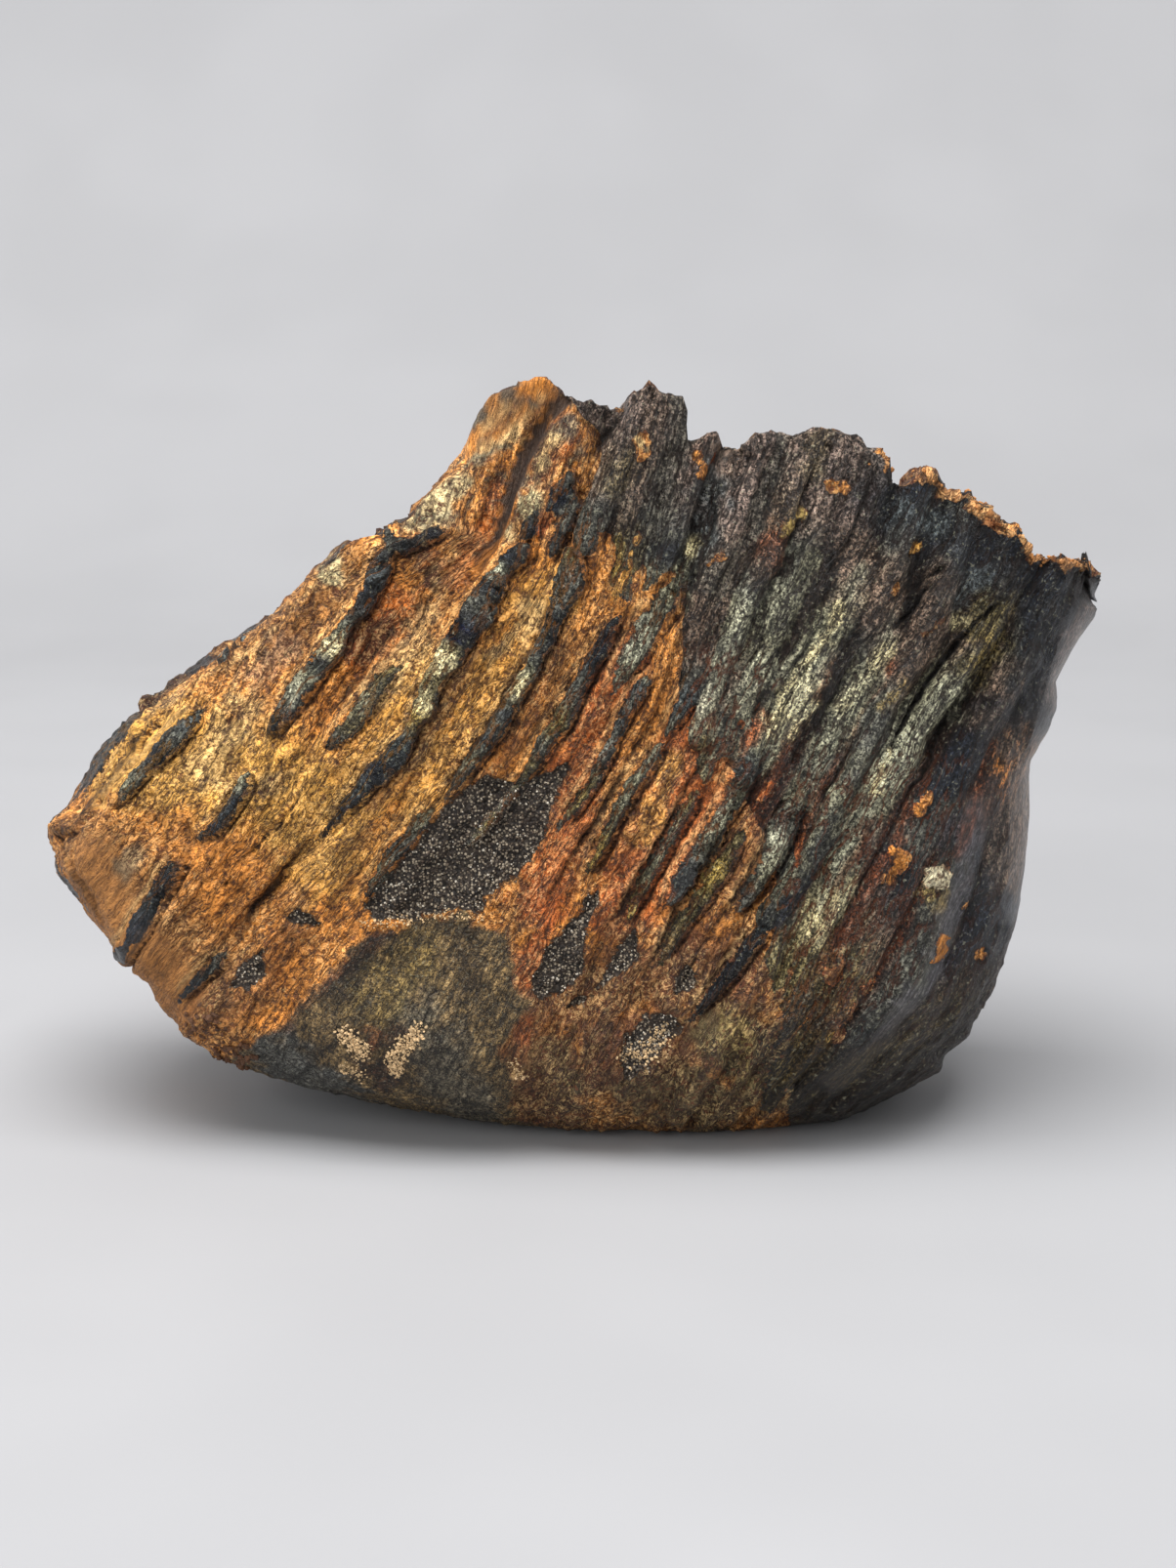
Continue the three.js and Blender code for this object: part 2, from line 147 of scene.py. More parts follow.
# Enamel ribs in the ochre half: how proud each stands, then its stations from top to
# bottom, each with its place, its half width and its tone.
RIBS = (
    (1.0, ((-90.6, 13.4, 1.4, BROWN_GREY), (-94, 10.8, 3.0, BLACK_BROWN), (-98.4, 6.0, 3.3, MIDNIGHT),
           (-102.4, 0.8, 3.3, BLACK_BROWN), (-106, -4.0, 2.8, BROWN_GREY),
           (-109.4, -8.6, 1.8, BLACK_BROWN))),
    (1.1, ((-78.6, 15, 0.5, SLATE), (-81.6, 12.4, 1.4, BLUE_GREY), (-84.6, 9.6, 1.9, SLATE),
           (-88, 6.2, 1.7, NAVY), (-91, 3, 1.4, SLATE), (-94, 0, 1.6, SAGE), (-96.6, -2.6, 1.6, SAGE),
           (-98.6, -4.6, 0.5, OLIVE))),
    (1.0, ((-69.4, 2.4, 0.4, SAGE), (-70.2, 0.6, 1.3, SAGE), (-71.4, -2.4, 1.6, MIDNIGHT),
           (-73.8, -6, 1.4, MIDNIGHT), (-76.8, -9, 1.2, NAVY), (-80, -11.2, 0.5, SLATE))),
    (1.4, ((-84.6, -17, 1.2, MIDNIGHT), (-86.4, -20, 1.8, NAVY), (-89.4, -25, 1.9, MIDNIGHT),
           (-92.4, -30, 1.9, NAVY), (-95.8, -35.6, 1.8, MIDNIGHT))),
    (0.6, ((-108.4, -13, 0.5, BROWN_GREY), (-107, -18, 0.9, MIDNIGHT), (-103.6, -23.6, 0.9, BLACK_BROWN),
           (-99.8, -30.2, 0.5, MIDNIGHT))),
    (0.9, ((-73.6, -33.6, 0.4, SLATE), (-75.4, -36, 1.2, SLATE), (-79, -39.6, 1.1, MIDNIGHT),
           (-82, -42.6, 1.0, MIDNIGHT), (-83.8, -44.4, 0.4, NAVY))),
    (0.6, ((-90.8, 17.4, 1.6, BLACK_BROWN), (-86.6, 20.6, 2.1, SLATE), (-81.6, 23.7, 2.1, BROWN_GREY),
           (-76.6, 26.8, 2.3, SLATE), (-71.4, 29.9, 2.1, BLUE_GREY), (-66.8, 33, 1.4, SLATE),
           (-63, 35, 0.5, SLATE))),
    (0.4, ((-62, 38, 0.6, BROWN_GREY), (-58, 41.6, 1.2, BLACK_BROWN), (-53, 46, 1.2, BROWN_GREY),
           (-50, 49, 0.8, SLATE))),
    (1.0, ((-4, 63, 0.8, SLATE), (-5.4, 59.6, 2.4, NAVY), (-6.6, 56.4, 2.0, NAVY),
           (-8, 54, 0.6, MIDNIGHT))),
    (0.8, ((-2.6, 58, 0.8, SLATE), (-4.4, 53.6, 1.6, SLATE), (-6.4, 49.6, 1.4, MIDNIGHT),
           (-7.6, 46.6, 0.5, SLATE))),
    (1.6, ((-28.8, 51.6, 0.6, BLACK_BROWN), (-32, 51, 1.3, NAVY), (-35, 49.8, 1.1, BLACK_BROWN),
           (-37.6, 48.8, 1.8, MIDNIGHT), (-40.4, 50, 1.2, SLATE), (-40, 53.4, 1.4, SLATE))),
    (1.7, ((-39.8, 49.6, 0.8, SLATE), (-42, 45.8, 1.7, MIDNIGHT), (-43, 42.6, 2.3, BLUE_GREY),
           (-45.2, 38.8, 1.9, NAVY), (-48, 34.6, 1.5, SLATE), (-50.6, 31, 1.6, SAGE),
           (-52.4, 28, 2.2, CREAM), (-54, 25.4, 1.9, SLATE), (-56.6, 22, 1.9, SAGE),
           (-58.8, 19.2, 1.9, PALE_SAGE), (-61.2, 15.6, 1.8, SLATE), (-63.6, 12.2, 1.4, MIDNIGHT),
           (-66, 9.6, 0.4, SLATE))),
    (0.5, ((-38.6, 24.2, 0.5, OLIVE), (-41.6, 21.8, 1.2, OLIVE), (-45.6, 16.6, 1.7, SAGE),
           (-48.6, 12, 1.7, OLIVE), (-51, 9.2, 1.3, SLATE), (-53.4, 7.6, 0.6, BLACK_BROWN))),
    (1.2, ((-10.2, 55.4, 0.6, SLATE), (-12, 52.6, 1.8, NAVY), (-13.4, 50.6, 0.9, BLACK_BROWN))),
    (1.3, ((-13.2, 48.8, 0.9, SLATE), (-14.8, 46.6, 1.9, NAVY), (-16.6, 44.2, 1.4, MIDNIGHT))),
    (1.9, ((-18, 43.2, 1.2, PALE_SAGE), (-19.6, 40.4, 2.5, MIDNIGHT), (-21.8, 36.4, 2.5, SLATE),
           (-24.2, 32.4, 2.4, NAVY), (-26.4, 29.2, 2.3, NAVY), (-27.8, 26.8, 2.2, CREAM),
           (-29.4, 24.2, 2.2, CREAM), (-31.4, 20.6, 2.0, OLIVE), (-33.2, 17, 2.0, CREAM),
           (-34.8, 13.4, 1.5, OLIVE_YELLOW), (-37, 9.6, 1.3, SLATE), (-40, 5.8, 1.9, MIDNIGHT),
           (-43, 2.2, 2.1, NAVY), (-46, -1, 1.5, MIDNIGHT), (-49.6, -5, 1.3, NAVY),
           (-55, -11.2, 0.5, BLACK_BROWN))),
    (1.7, ((-3, 47, 1.6, OLIVE), (-3.6, 43, 2.4, SLATE), (-5, 38.6, 2.1, SLATE),
           (-6.6, 34.6, 1.9, MIDNIGHT), (-8.2, 31, 1.7, MIDNIGHT), (-10.2, 27, 1.6, SLATE),
           (-11.8, 23.6, 1.8, SAGE), (-13.8, 19.6, 1.9, CREAM), (-16, 16.2, 1.9, SLATE),
           (-18.2, 12.4, 2.0, SLATE), (-20.8, 8.4, 1.8, MIDNIGHT), (-23.8, 4.4, 1.6, SAGE),
           (-26.8, 0, 1.3, SLATE), (-29, -4, 0.5, MIDNIGHT))),
    (1.2, ((-31.4, -5.6, 0.5, SAGE), (-33.4, -7.6, 1.5, SAGE), (-36.4, -11, 1.7, SLATE),
           (-39.6, -14.6, 1.7, SLATE), (-42.6, -18.6, 1.6, SAGE), (-45, -22.6, 0.7, MIDNIGHT))),
    (1.5, ((6, 34, 0.5, MIDNIGHT), (4.2, 30.8, 1.5, NAVY), (2.2, 27.4, 1.6, NAVY),
           (0.4, 24, 1.5, MIDNIGHT), (-1.6, 20.4, 1.6, SLATE), (-3, 17.2, 1.7, SLATE),
           (-4.8, 14, 1.6, OLIVE), (-6.8, 11, 1.7, OLIVE), (-9, 7.6, 1.6, SLATE), (-12, 3, 1.0, OLIVE),
           (-16.4, -3.4, 1.3, SLATE), (-20, -8, 1.4, OLIVE), (-24.4, -12.6, 0.6, SLATE))),
    (1.4, ((18.6, 43, 2.0, SAGE), (15.4, 37.6, 2.8, SAGE), (12.4, 32.4, 2.9, PALE_SAGE),
           (9.4, 27, 2.3, PALE_SAGE), (6.8, 22.6, 1.6, SAGE), (4.6, 19, 0.6, SLATE))),
    (1.3, ((12.6, 21.6, 0.6, SAGE), (11, 19.4, 1.4, BLUE_GREY), (9.2, 16.4, 1.3, SLATE),
           (7.4, 13.2, 1.3, MIDNIGHT), (5.6, 9.4, 1.2, SLATE), (3.4, 5.2, 1.3, SLATE),
           (0.4, -0.6, 1.2, OLIVE), (-3, -5.4, 1.0, OLIVE), (-6, -9, 0.4, SLATE))),
    (1.3, ((23, 22, 0.9, SLATE), (20.6, 17.4, 1.8, BLUE_GREY), (18, 13.2, 1.5, SLATE),
           (16, 10, 0.5, SAGE))),
    (1.5, ((15, 8.4, 0.6, SAGE), (12.6, 4.6, 1.6, PALE_SAGE), (9.8, 0.6, 1.8, SAGE), (7, -4, 1.7, SAGE),
           (4.2, -9.4, 1.4, OLIVE), (2, -14.2, 1.3, OLIVE_YELLOW), (0, -18.4, 0.5, OLIVE))),
    (1.1, ((22.6, -1.4, 0.5, OLIVE), (20.4, -4.6, 1.4, OLIVE), (17.4, -10, 1.4, SAGE),
           (14, -16, 1.4, SAGE), (11, -21, 1.4, OLIVE), (8.2, -27.4, 0.6, OLIVE_YELLOW))),
    (1.7, ((35.4, 7.4, 0.6, SAGE), (33, 3.2, 1.9, BLUE_GREY), (30.6, -1, 2.0, SAGE),
           (28, -5.6, 1.9, PALE_SAGE), (25.4, -10.4, 2.2, SAGE), (22.4, -15, 2.3, SLATE),
           (19.4, -19.6, 2.1, MIDNIGHT), (17, -23.8, 0.7, SLATE))),
    (1.2, ((31.8, -10, 0.5, OLIVE), (29, -14, 1.6, OLIVE), (26.6, -18, 1.9, OLIVE_YELLOW),
           (23.4, -23, 1.6, OLIVE), (20, -27.6, 1.5, OLIVE), (16.8, -32.6, 1.1, MOSS),
           (14.6, -37, 0.4, OLIVE))),
    (1.6, ((43.6, -2, 0.8, SAGE), (41, -7.6, 2.2, SLATE), (38.4, -13, 2.4, PALE_SAGE),
           (35.4, -18.2, 2.2, SAGE), (32.8, -22.2, 1.8, SLATE), (30.4, -25.8, 0.6, SLATE))),
    (1.3, ((38.8, -25, 0.5, SLATE), (36.2, -29, 1.4, MIDNIGHT), (32.8, -33.8, 1.5, NAVY),
           (29, -38.6, 1.4, NAVY), (25.2, -43.2, 1.2, NAVY), (21, -48, 0.5, MIDNIGHT))),
)

# The enamel-rich half, right of this line.
ENAMEL_FIELD = (
    (-9, 88), (-8, 78), (-5, 73.6), (-1, 70.6), (-0.6, 66), (-2.6, 60), (-3, 54), (1, 49), (8.6, 40.6),
    (15.6, 41.6), (15.6, 32.6), (17.6, 22.6), (21.6, 12.6), (25.6, 2.6), (29.6, -6.4),
    (34, -15), (36, -24), (37.6, -31.4), (39.6, -38.4), (43.6, -47.4),
    (39.6, -59.4), (35.6, -80), (130, -80), (130, 100), (-9, 100),
)

# The plates of that half, crest by crest: half width, rise, tones and centre line.
PLATES = (
    (3.6, 1.4, (BROWN_GREY, MAUVE, OLIVE, SLATE, SLATE),
     ((12, 82), (9, 74), (6, 66), (3, 59), (0, 53), (-1, 49))),
    (3.6, 1.5, (MAUVE, MAUVE, OLIVE, SLATE, OLIVE, OLIVE_YELLOW, SLATE),
     ((18, 80), (15, 72), (12, 66), (10, 58), (9, 50), (7, 44), (6, 38))),
    (3.4, 1.4, (BROWN_GREY, RUST, SLATE, NAVY, SAGE, SAGE, PALE_SAGE, SAGE),
     ((26, 74), (23, 65), (20, 58), (17, 50), (15, 44), (12, 35), (8, 26), (5, 20))),
    (4.0, 1.6, (MAUVE, MAUVE, MAUVE, BROWN_GREY, BROWN_GREY, BROWN_GREY, SLATE),
     ((37, 74), (33, 62), (30, 53), (27, 44), (25, 36), (23, 28), (21, 19))),
    (3.4, 1.4, (BROWN_GREY, BROWN_GREY, OLIVE, RUST, SLATE, SAGE, SLATE, BROWN_GREY, OLIVE),
     ((45, 75), (42, 64), (41, 56), (38, 48), (35, 42), (31, 35), (29, 28), (26, 20), (23, 9))),
    (3.4, 1.5, (BROWN_GREY, NAVY, BROWN_GREY, SLATE, PALE_SAGE, SAGE, BROWN_GREY, SLATE, OLIVE),
     ((52, 74), (48, 62), (45, 54), (42, 45), (39.5, 37), (35, 29), (32, 23), (29, 15), (23, 2))),
    (3.6, 1.8, (SLATE, NAVY, BROWN_GREY, BROWN_GREY, SAGE, SAGE, PALE_SAGE, SAGE, SAGE),
     ((60, 67), (57, 58), (55, 51), (55, 43), (52.8, 36.6), (47, 29), (42.5, 19), (38.5, 11), (33.4, 4))),
    (3.6, 1.5, (NAVY, NAVY, SLATE, BROWN_GREY, BROWN_GREY, SLATE, SAGE, SAGE, SLATE, SAGE),
     ((69, 66), (66, 56), (64, 48), (61.4, 41), (60.4, 34), (60, 28), (56, 20), (52, 12), (48, 4),
      (43.6, -3.8))),
    (3.6, 1.6, (NAVY, SLATE, BROWN_GREY, BROWN_GREY, BROWN_GREY, SLATE, SLATE, SAGE, SLATE, NAVY, NAVY),
     ((78, 59), (75, 50), (73, 42), (70, 33), (65, 24), (60, 15), (56, 6), (52, -4), (47, -13),
      (42, -20), (37, -27))),
    (4.6, 0.9, (NAVY, NAVY, OLIVE, BROWN_GREY, SAGE, SAGE, PALE_SAGE, SAGE, SLATE, SAGE, CREAM,
                OLIVE, OLIVE),
     ((87, 54), (85, 43), (82, 32), (77, 25), (71, 18), (66, 11), (62, 3), (57.8, -3), (54.4, -9.4),
      (51.2, -17), (49, -25), (44, -34), (37, -45))),
    (4.4, 1.5, (NAVY, NAVY, SLATE, BROWN_GREY, NAVY, NAVY, SLATE, NAVY, BROWN_GREY, OLIVE, RUST,
                OLIVE_YELLOW, OLIVE),
     ((96, 48), (92, 32), (88, 24), (82, 14), (76, 4), (72, -3), (67, -11), (62, -20), (58, -30),
      (54, -38), (49, -47), (43, -55), (36, -64))),
    (4.4, 1.0, (NAVY, NAVY, NAVY, BROWN_GREY, OCHRE, MIDNIGHT, SLATE, SLATE, SLATE, MIDNIGHT, OLIVE),
     ((104, 42), (98, 26), (92, 14), (86, 3), (80, -6), (77, -14), (73, -24), (69, -35), (63, -45),
      (54, -56), (44, -66))),
    (4.4, 0.7, (NAVY, BROWN_GREY, MAUVE, NAVY, NAVY, NAVY, OLIVE, OLIVE, OLIVE),
     ((96, 12), (90, -2), (87, -12), (85, -22), (82, -32), (77, -42), (70, -50), (61, -58), (50, -68))),
    (3.0, 1.3, (SLATE, OLIVE, SAGE, OLIVE, OLIVE),
     ((42, -28), (38, -36), (32, -44), (27, -53), (21, -64))),
    (3.0, 1.2, (OLIVE, OLIVE, RUST, BROWN_GREY), ((48, -38), (43, -46), (38, -52), (31, -60))),
)

# Grooves between plates: half width, depth, line.
GROOVES = (
    (1.3, 1.8, ((-5, 80), (-8.4, 75), (-11.8, 70), (-14, 65), (-16, 60), (-17.7, 55), (-19.5, 50),
                (-21.8, 46), (-24.5, 42.5), (-27, 39))),
    (0.7, 1.3, ((7.2, 77), (4.6, 72.6), (2.6, 69.6), (0.6, 65.6))),
    (0.9, 1.5, ((28.6, 69.6), (26.6, 65.6), (25.2, 62.6), (23.2, 56.6), (22, 50.6))),
    (0.8, 1.2, ((33.6, 69.6), (31.6, 64.6), (29.6, 58.6))),
    (0.9, 1.4, ((-58.4, -13.4), (-68.4, -26.4), (-72.4, -33.4))),
    (0.6, 1.0, ((-39, 34), (-45, 25), (-50, 18), (-55, 12))),
    (0.5, 0.9, ((-31, 40), (-36, 32), (-43, 22), (-49, 15))),
    (0.7, 1.0, ((-8, 37), (-15, 22), (-23, 8), (-31, -4), (-39, -14))),
    (0.6, 1.0, ((3, 24), (-5, 8), (-12, -2))),
    (0.7, 1.1, ((12, 12), (5, -2), (-2, -14), (-9, -24))),
    (0.7, 1.2, ((25, 8), (17, -7), (10, -20), (4, -32), (-4, -48))),
    (0.7, 1.2, ((32, 0), (25, -14), (18, -27), (11, -40))),
    (0.7, 1.1, ((40, -4), (32, -20), (25, -31), (18, -44))),
    (0.6, 1.0, ((60, 66), (56.6, 58), (53.4, 50), (50, 43))),
    (0.6, 1.0, ((52, 40), (47, 32), (41, 22), (36, 12))),
    (0.6, 1.1, ((60, 33), (54, 24), (48, 12), (42, 2))),
    (0.5, 0.9, ((58, 14), (52, 4), (47, -6), (43, -16))),
    (0.6, 1.0, ((66, -2), (60, -14), (54, -24), (48, -34))),
    (0.6, 1.0, ((78, 22), (72, 10), (66, -2))),
    (0.5, 0.9, ((48, 68), (44, 58), (41, 48))),
)

# Open cracks: half width, depth, line.
CRACKS = (
    (0.55, 2.2, ((84, 36.6), (80.4, 33.8), (77, 30.6), (74, 27.6), (71.4, 24.4), (69.4, 21), (67.8, 18),
                (66, 14.8), (64, 11.6), (62, 8))),
    (0.4, 1.5, ((70.4, 41), (67.4, 37.6), (64.8, 34.4), (62.8, 31.6))),
    (0.5, 1.4, ((73, 44.6), (70, 42.6), (67.4, 40.6))),
    (0.3, 0.8, ((-54, 4.2), (-60.4, -4.4), (-63.8, -8.8), (-67.4, -12.4), (-72, -16.4))),
    (0.3, 0.8, ((-72.8, -19), (-74.4, -21.4))),
    (0.3, 0.9, ((45.4, 25.4), (43, 21.4), (41.6, 18.6), (40.2, 15))),
    (0.3, 0.8, ((36.4, 31), (34.4, 27.6), (33, 24))),
)

# Smooth places, worn or of close grain: half width, softness, strength, line.
CALM_PLACES = (
    (1.5, 0.5, 1.0, ((-6, 79), (-11.8, 70), (-16, 60), (-19.5, 50), (-22.6, 45))),
    (5.0, 2.5, 0.8, ((-22.4, 72), (-17.6, 77), (-10.4, 79.6))),
    (6.0, 4.0, 0.8, ((-101, -17), (-93, -33), (-84, -43))),
    (1.2, 1.2, 0.7, ((-83.6, 14), (-92.6, 5), (-101, -4))),
    (2.4, 1.4, 0.75, ((79.4, -4), (77.4, -14), (74, -25), (70, -38), (64, -47), (58, -54), (50, -60))),
    (2.6, 2.0, 0.9, ((104, 38), (98, 24), (94, 12), (90, 0), (89, -12), (87, -26))),
    (1.4, 1.0, 0.8, ((28, 70), (25.6, 63))),
    (1.6, 1.5, 0.7, ((26, -48), (20, -53))),
)

# The broken crest and both ends, as they stand out against the floor.
CREST_LINE = (
    (-112, -8), (-103, 1.2), (-97, 10), (-92.6, 14.2), (-91, 16.6), (-88, 18.8), (-85, 21),
    (-80, 25), (-72, 30.4), (-65, 35), (-60, 40), (-53, 46.6), (-50, 49.4), (-46.6, 50.2),
    (-43, 51.2), (-40, 52.2), (-36, 56.4), (-30, 63.6), (-25.4, 69.6), (-24, 73), (-20, 80),
    (-15, 82), (-10, 83.6), (-6, 82.2), (-3, 80), (0, 79), (4.6, 77.6), (7, 77), (9, 80),
    (13, 81.6), (16, 80.2), (20.2, 79), (20.6, 73), (22, 72.8), (26.4, 72), (28, 70.2),
    (32, 70), (35, 71.6), (38, 72), (42, 71.8), (45, 72.8), (47, 73.6), (50, 72.8),
    (54, 71.6), (56.4, 71.2), (58, 69), (60, 68), (61.6, 66.2), (62, 63.4), (64, 63),
    (67, 63.8), (69.8, 65.2), (72.6, 63.2), (73.4, 60.6), (76, 60.6), (78.4, 61.4),
    (79, 58.4), (82, 57), (84.6, 55.6), (87, 53), (89, 52), (91, 48.2), (93.6, 47.4),
    (96, 46.8), (97.4, 48), (98, 46.4), (101.2, 46.4), (103.6, 44.6), (105, 43), (106, 38),
)
HEEL_EDGE = (
    (-91.2, 16), (-92.4, 14.6), (-94.6, 13), (-97, 10), (-100, 6), (-103, 1), (-106, -4), (-110.3, -9),
    (-109, -13), (-108.5, -18), (-106, -21), (-103, -26), (-100, -30), (-95, -36.5), (-92, -41),
)
FRONT_EDGE = (
    (105, 36), (104, 34), (101, 30), (98, 25), (95.6, 21), (95.8, 18), (96, 15), (95, 12),
    (93, 9), (91, 5), (90.5, 0), (90, -10), (89.5, -20), (88, -30), (86, -37), (84, -42),
    (81.4, -47), (78.4, -52), (75, -57),
)

# Outlines of the hollows full of sand, and of the cement on the foot.
SAND_POCKETS = (
    ((-29, -4.6), (-25.4, -1), (-20.4, 1.4), (-14, 0.4), (-10, 2), (-3, 5), (-5.4, -0.4), (-7.4, -5.4),
     (-9.4, -11.4), (-12.4, -16.4), (-16.4, -20.4), (-20.4, -23.4), (-21.4, -27), (-26, -25.6),
     (-32.4, -27), (-38.4, -28.2), (-44.4, -27.6), (-46.4, -25), (-43, -20.4), (-38.4, -15.4), (-33, -9)),
    ((-10.4, -44.4), (-11.4, -39.4), (-8.4, -33.4), (-3.4, -28.4), (-0.4, -23.4), (3, -20),
     (2, -24.4), (-0.4, -31.4), (-0.4, -37.4), (-2.4, -41), (-5.4, -43.4)),
    ((-4.4, -46.4), (2, -40.8), (4.6, -36.4), (7.6, -31.4), (9.6, -29.4), (10.6, -34.4),
     (9.2, -37.8), (5.6, -39.4), (2, -42), (-0.4, -44.8)),
    ((6, -58.4), (7.6, -51.4), (11.6, -47.4), (17.6, -47.4), (19.6, -49.4), (15.6, -54.4),
     (11.6, -59.4), (7.6, -61)),
    ((17.2, -43.4), (17.6, -39.4), (20, -36.4), (22.6, -39.4), (22, -42.4)),
    ((-62.4, -27.8), (-60.4, -25.8), (-57.4, -26.4), (-54.6, -29.6), (-58.4, -29)),
    ((-73.4, -41.4), (-72.4, -37), (-69.4, -34.6), (-66.6, -33.6), (-66, -39.4), (-69.4, -42.4)),
)

CEMENT_PATCH = (
    (-64, -50), (-58, -43), (-54, -38), (-48, -34), (-45, -31), (-40, -29.4), (-33, -27.4),
    (-26.4, -26.4), (-20.4, -28.4), (-16.4, -30.4), (-15.4, -35.4), (-14.4, -41.4), (-11.4, -44.4),
    (-13.4, -48.4), (-17.4, -51.4), (-17.4, -56.4), (-15.4, -60.4), (-16.4, -80), (-56, -80),
    (-80, -62), (-74.4, -56.4), (-69, -53.4),
)

# Dentine laid bare inside the enamel: colour, half width, line.
BARE_PATCHES = (
    (CRUST_ORANGE, 1.2, ((67, 63.6), (70.6, 62), (73, 60.4))),
    (CRUST_ORANGE, 1.0, ((72.4, 59.4), (75, 59), (78, 58.6))),
    (CRUST_ORANGE, 0.9, ((78.8, 57.4), (80, 55), (83, 55.6), (85, 54.4))),
    (CRUST_ORANGE, 1.1, ((86, 52.4), (88.4, 50.4), (90.4, 48.4))),
    (CRUST_ORANGE, 0.9, ((91.6, 46.6), (94, 45.8), (96.6, 45.6))),
    (CRUST_ORANGE, 1.2, ((97.4, 44.8), (99.8, 45), (102, 44.4))),
    (CRUST_ORANGE, 0.8, ((61.4, 66.4), (61, 64.4))),
    (RED_ORANGE, 0.7, ((81.6, 53.6), (84, 53))),
    (OCHRE, 1.8, ((11, 70.2), (11.6, 68.2))),
    (STRAW, 0.7, ((10.2, 71), (10.8, 69.8))),
    (BLACK_BROWN, 0.5, ((11.4, 69.2), (11.8, 68.4))),
    (OCHRE, 1.1, ((22.6, 67), (24, 64.8), (23.8, 63))),
    (RED_ORANGE, 0.6, ((27, 68.4), (25.6, 65.4))),
    (OCHRE, 0.9, ((48.6, 61.6), (50.4, 60.8), (53, 60.4))),
    (OLIVE_YELLOW, 1.0, ((43.6, 56), (41, 52))),
    (GOLD, 1.3, ((10.6, 50.4), (8.8, 47), (7.4, 43), (6, 40))),
    (OCHRE, 1.0, ((16, 43), (13.6, 40.6), (11.4, 38))),
    (OCHRE, 0.7, ((26.6, 46.6), (24.6, 44.6))),
    (RED_ORANGE, 0.8, ((-8, 54.4), (-9.6, 52))),
    (GOLD, 0.9, ((68.6, 48.4), (67, 47))),
    (OCHRE, 0.8, ((63, 40.6), (61.6, 38.4))),
    (RUST, 0.4, ((73.4, 34.8), (70.6, 32.4), (68, 30.6))),
    (OCHRE, 1.3, ((69.4, -2.4), (67.6, -5.4))),
    (OCHRE, 1.7, ((63.8, -14.8), (61.2, -18.4))),
    (BRIGHT_CREAM, 2.0, ((71.8, -18.8), (71.2, -20.2))),
    (OCHRE, 1.0, ((72.2, -31.6), (71.4, -35.6))),
    (OCHRE, 0.6, ((77.8, -24), (77.4, -25.4))),
    (OCHRE, 0.5, ((80.4, -34.4), (80.2, -35.4))),
    (RED_ORANGE, 0.8, ((43.8, -10.6), (43, -14), (42.4, -16.6))),
    (FOOT_BROWN, 1.4, ((52, -36), (49.4, -40))),
    (FOOT_BROWN, 1.2, ((41, -40), (38.6, -44))),
    (RUST, 0.9, ((60, -38.6), (56.6, -43), (54, -47.4), (51.4, -52.4))),
    (RED_ORANGE, 1.0, ((37.4, -0.6), (35.6, -2.6))),
    (OCHRE, 0.6, ((19.6, 27.4), (17.4, 24))),
    (RUST, 0.6, ((33.6, 13.6), (31.6, 12.4))),
)

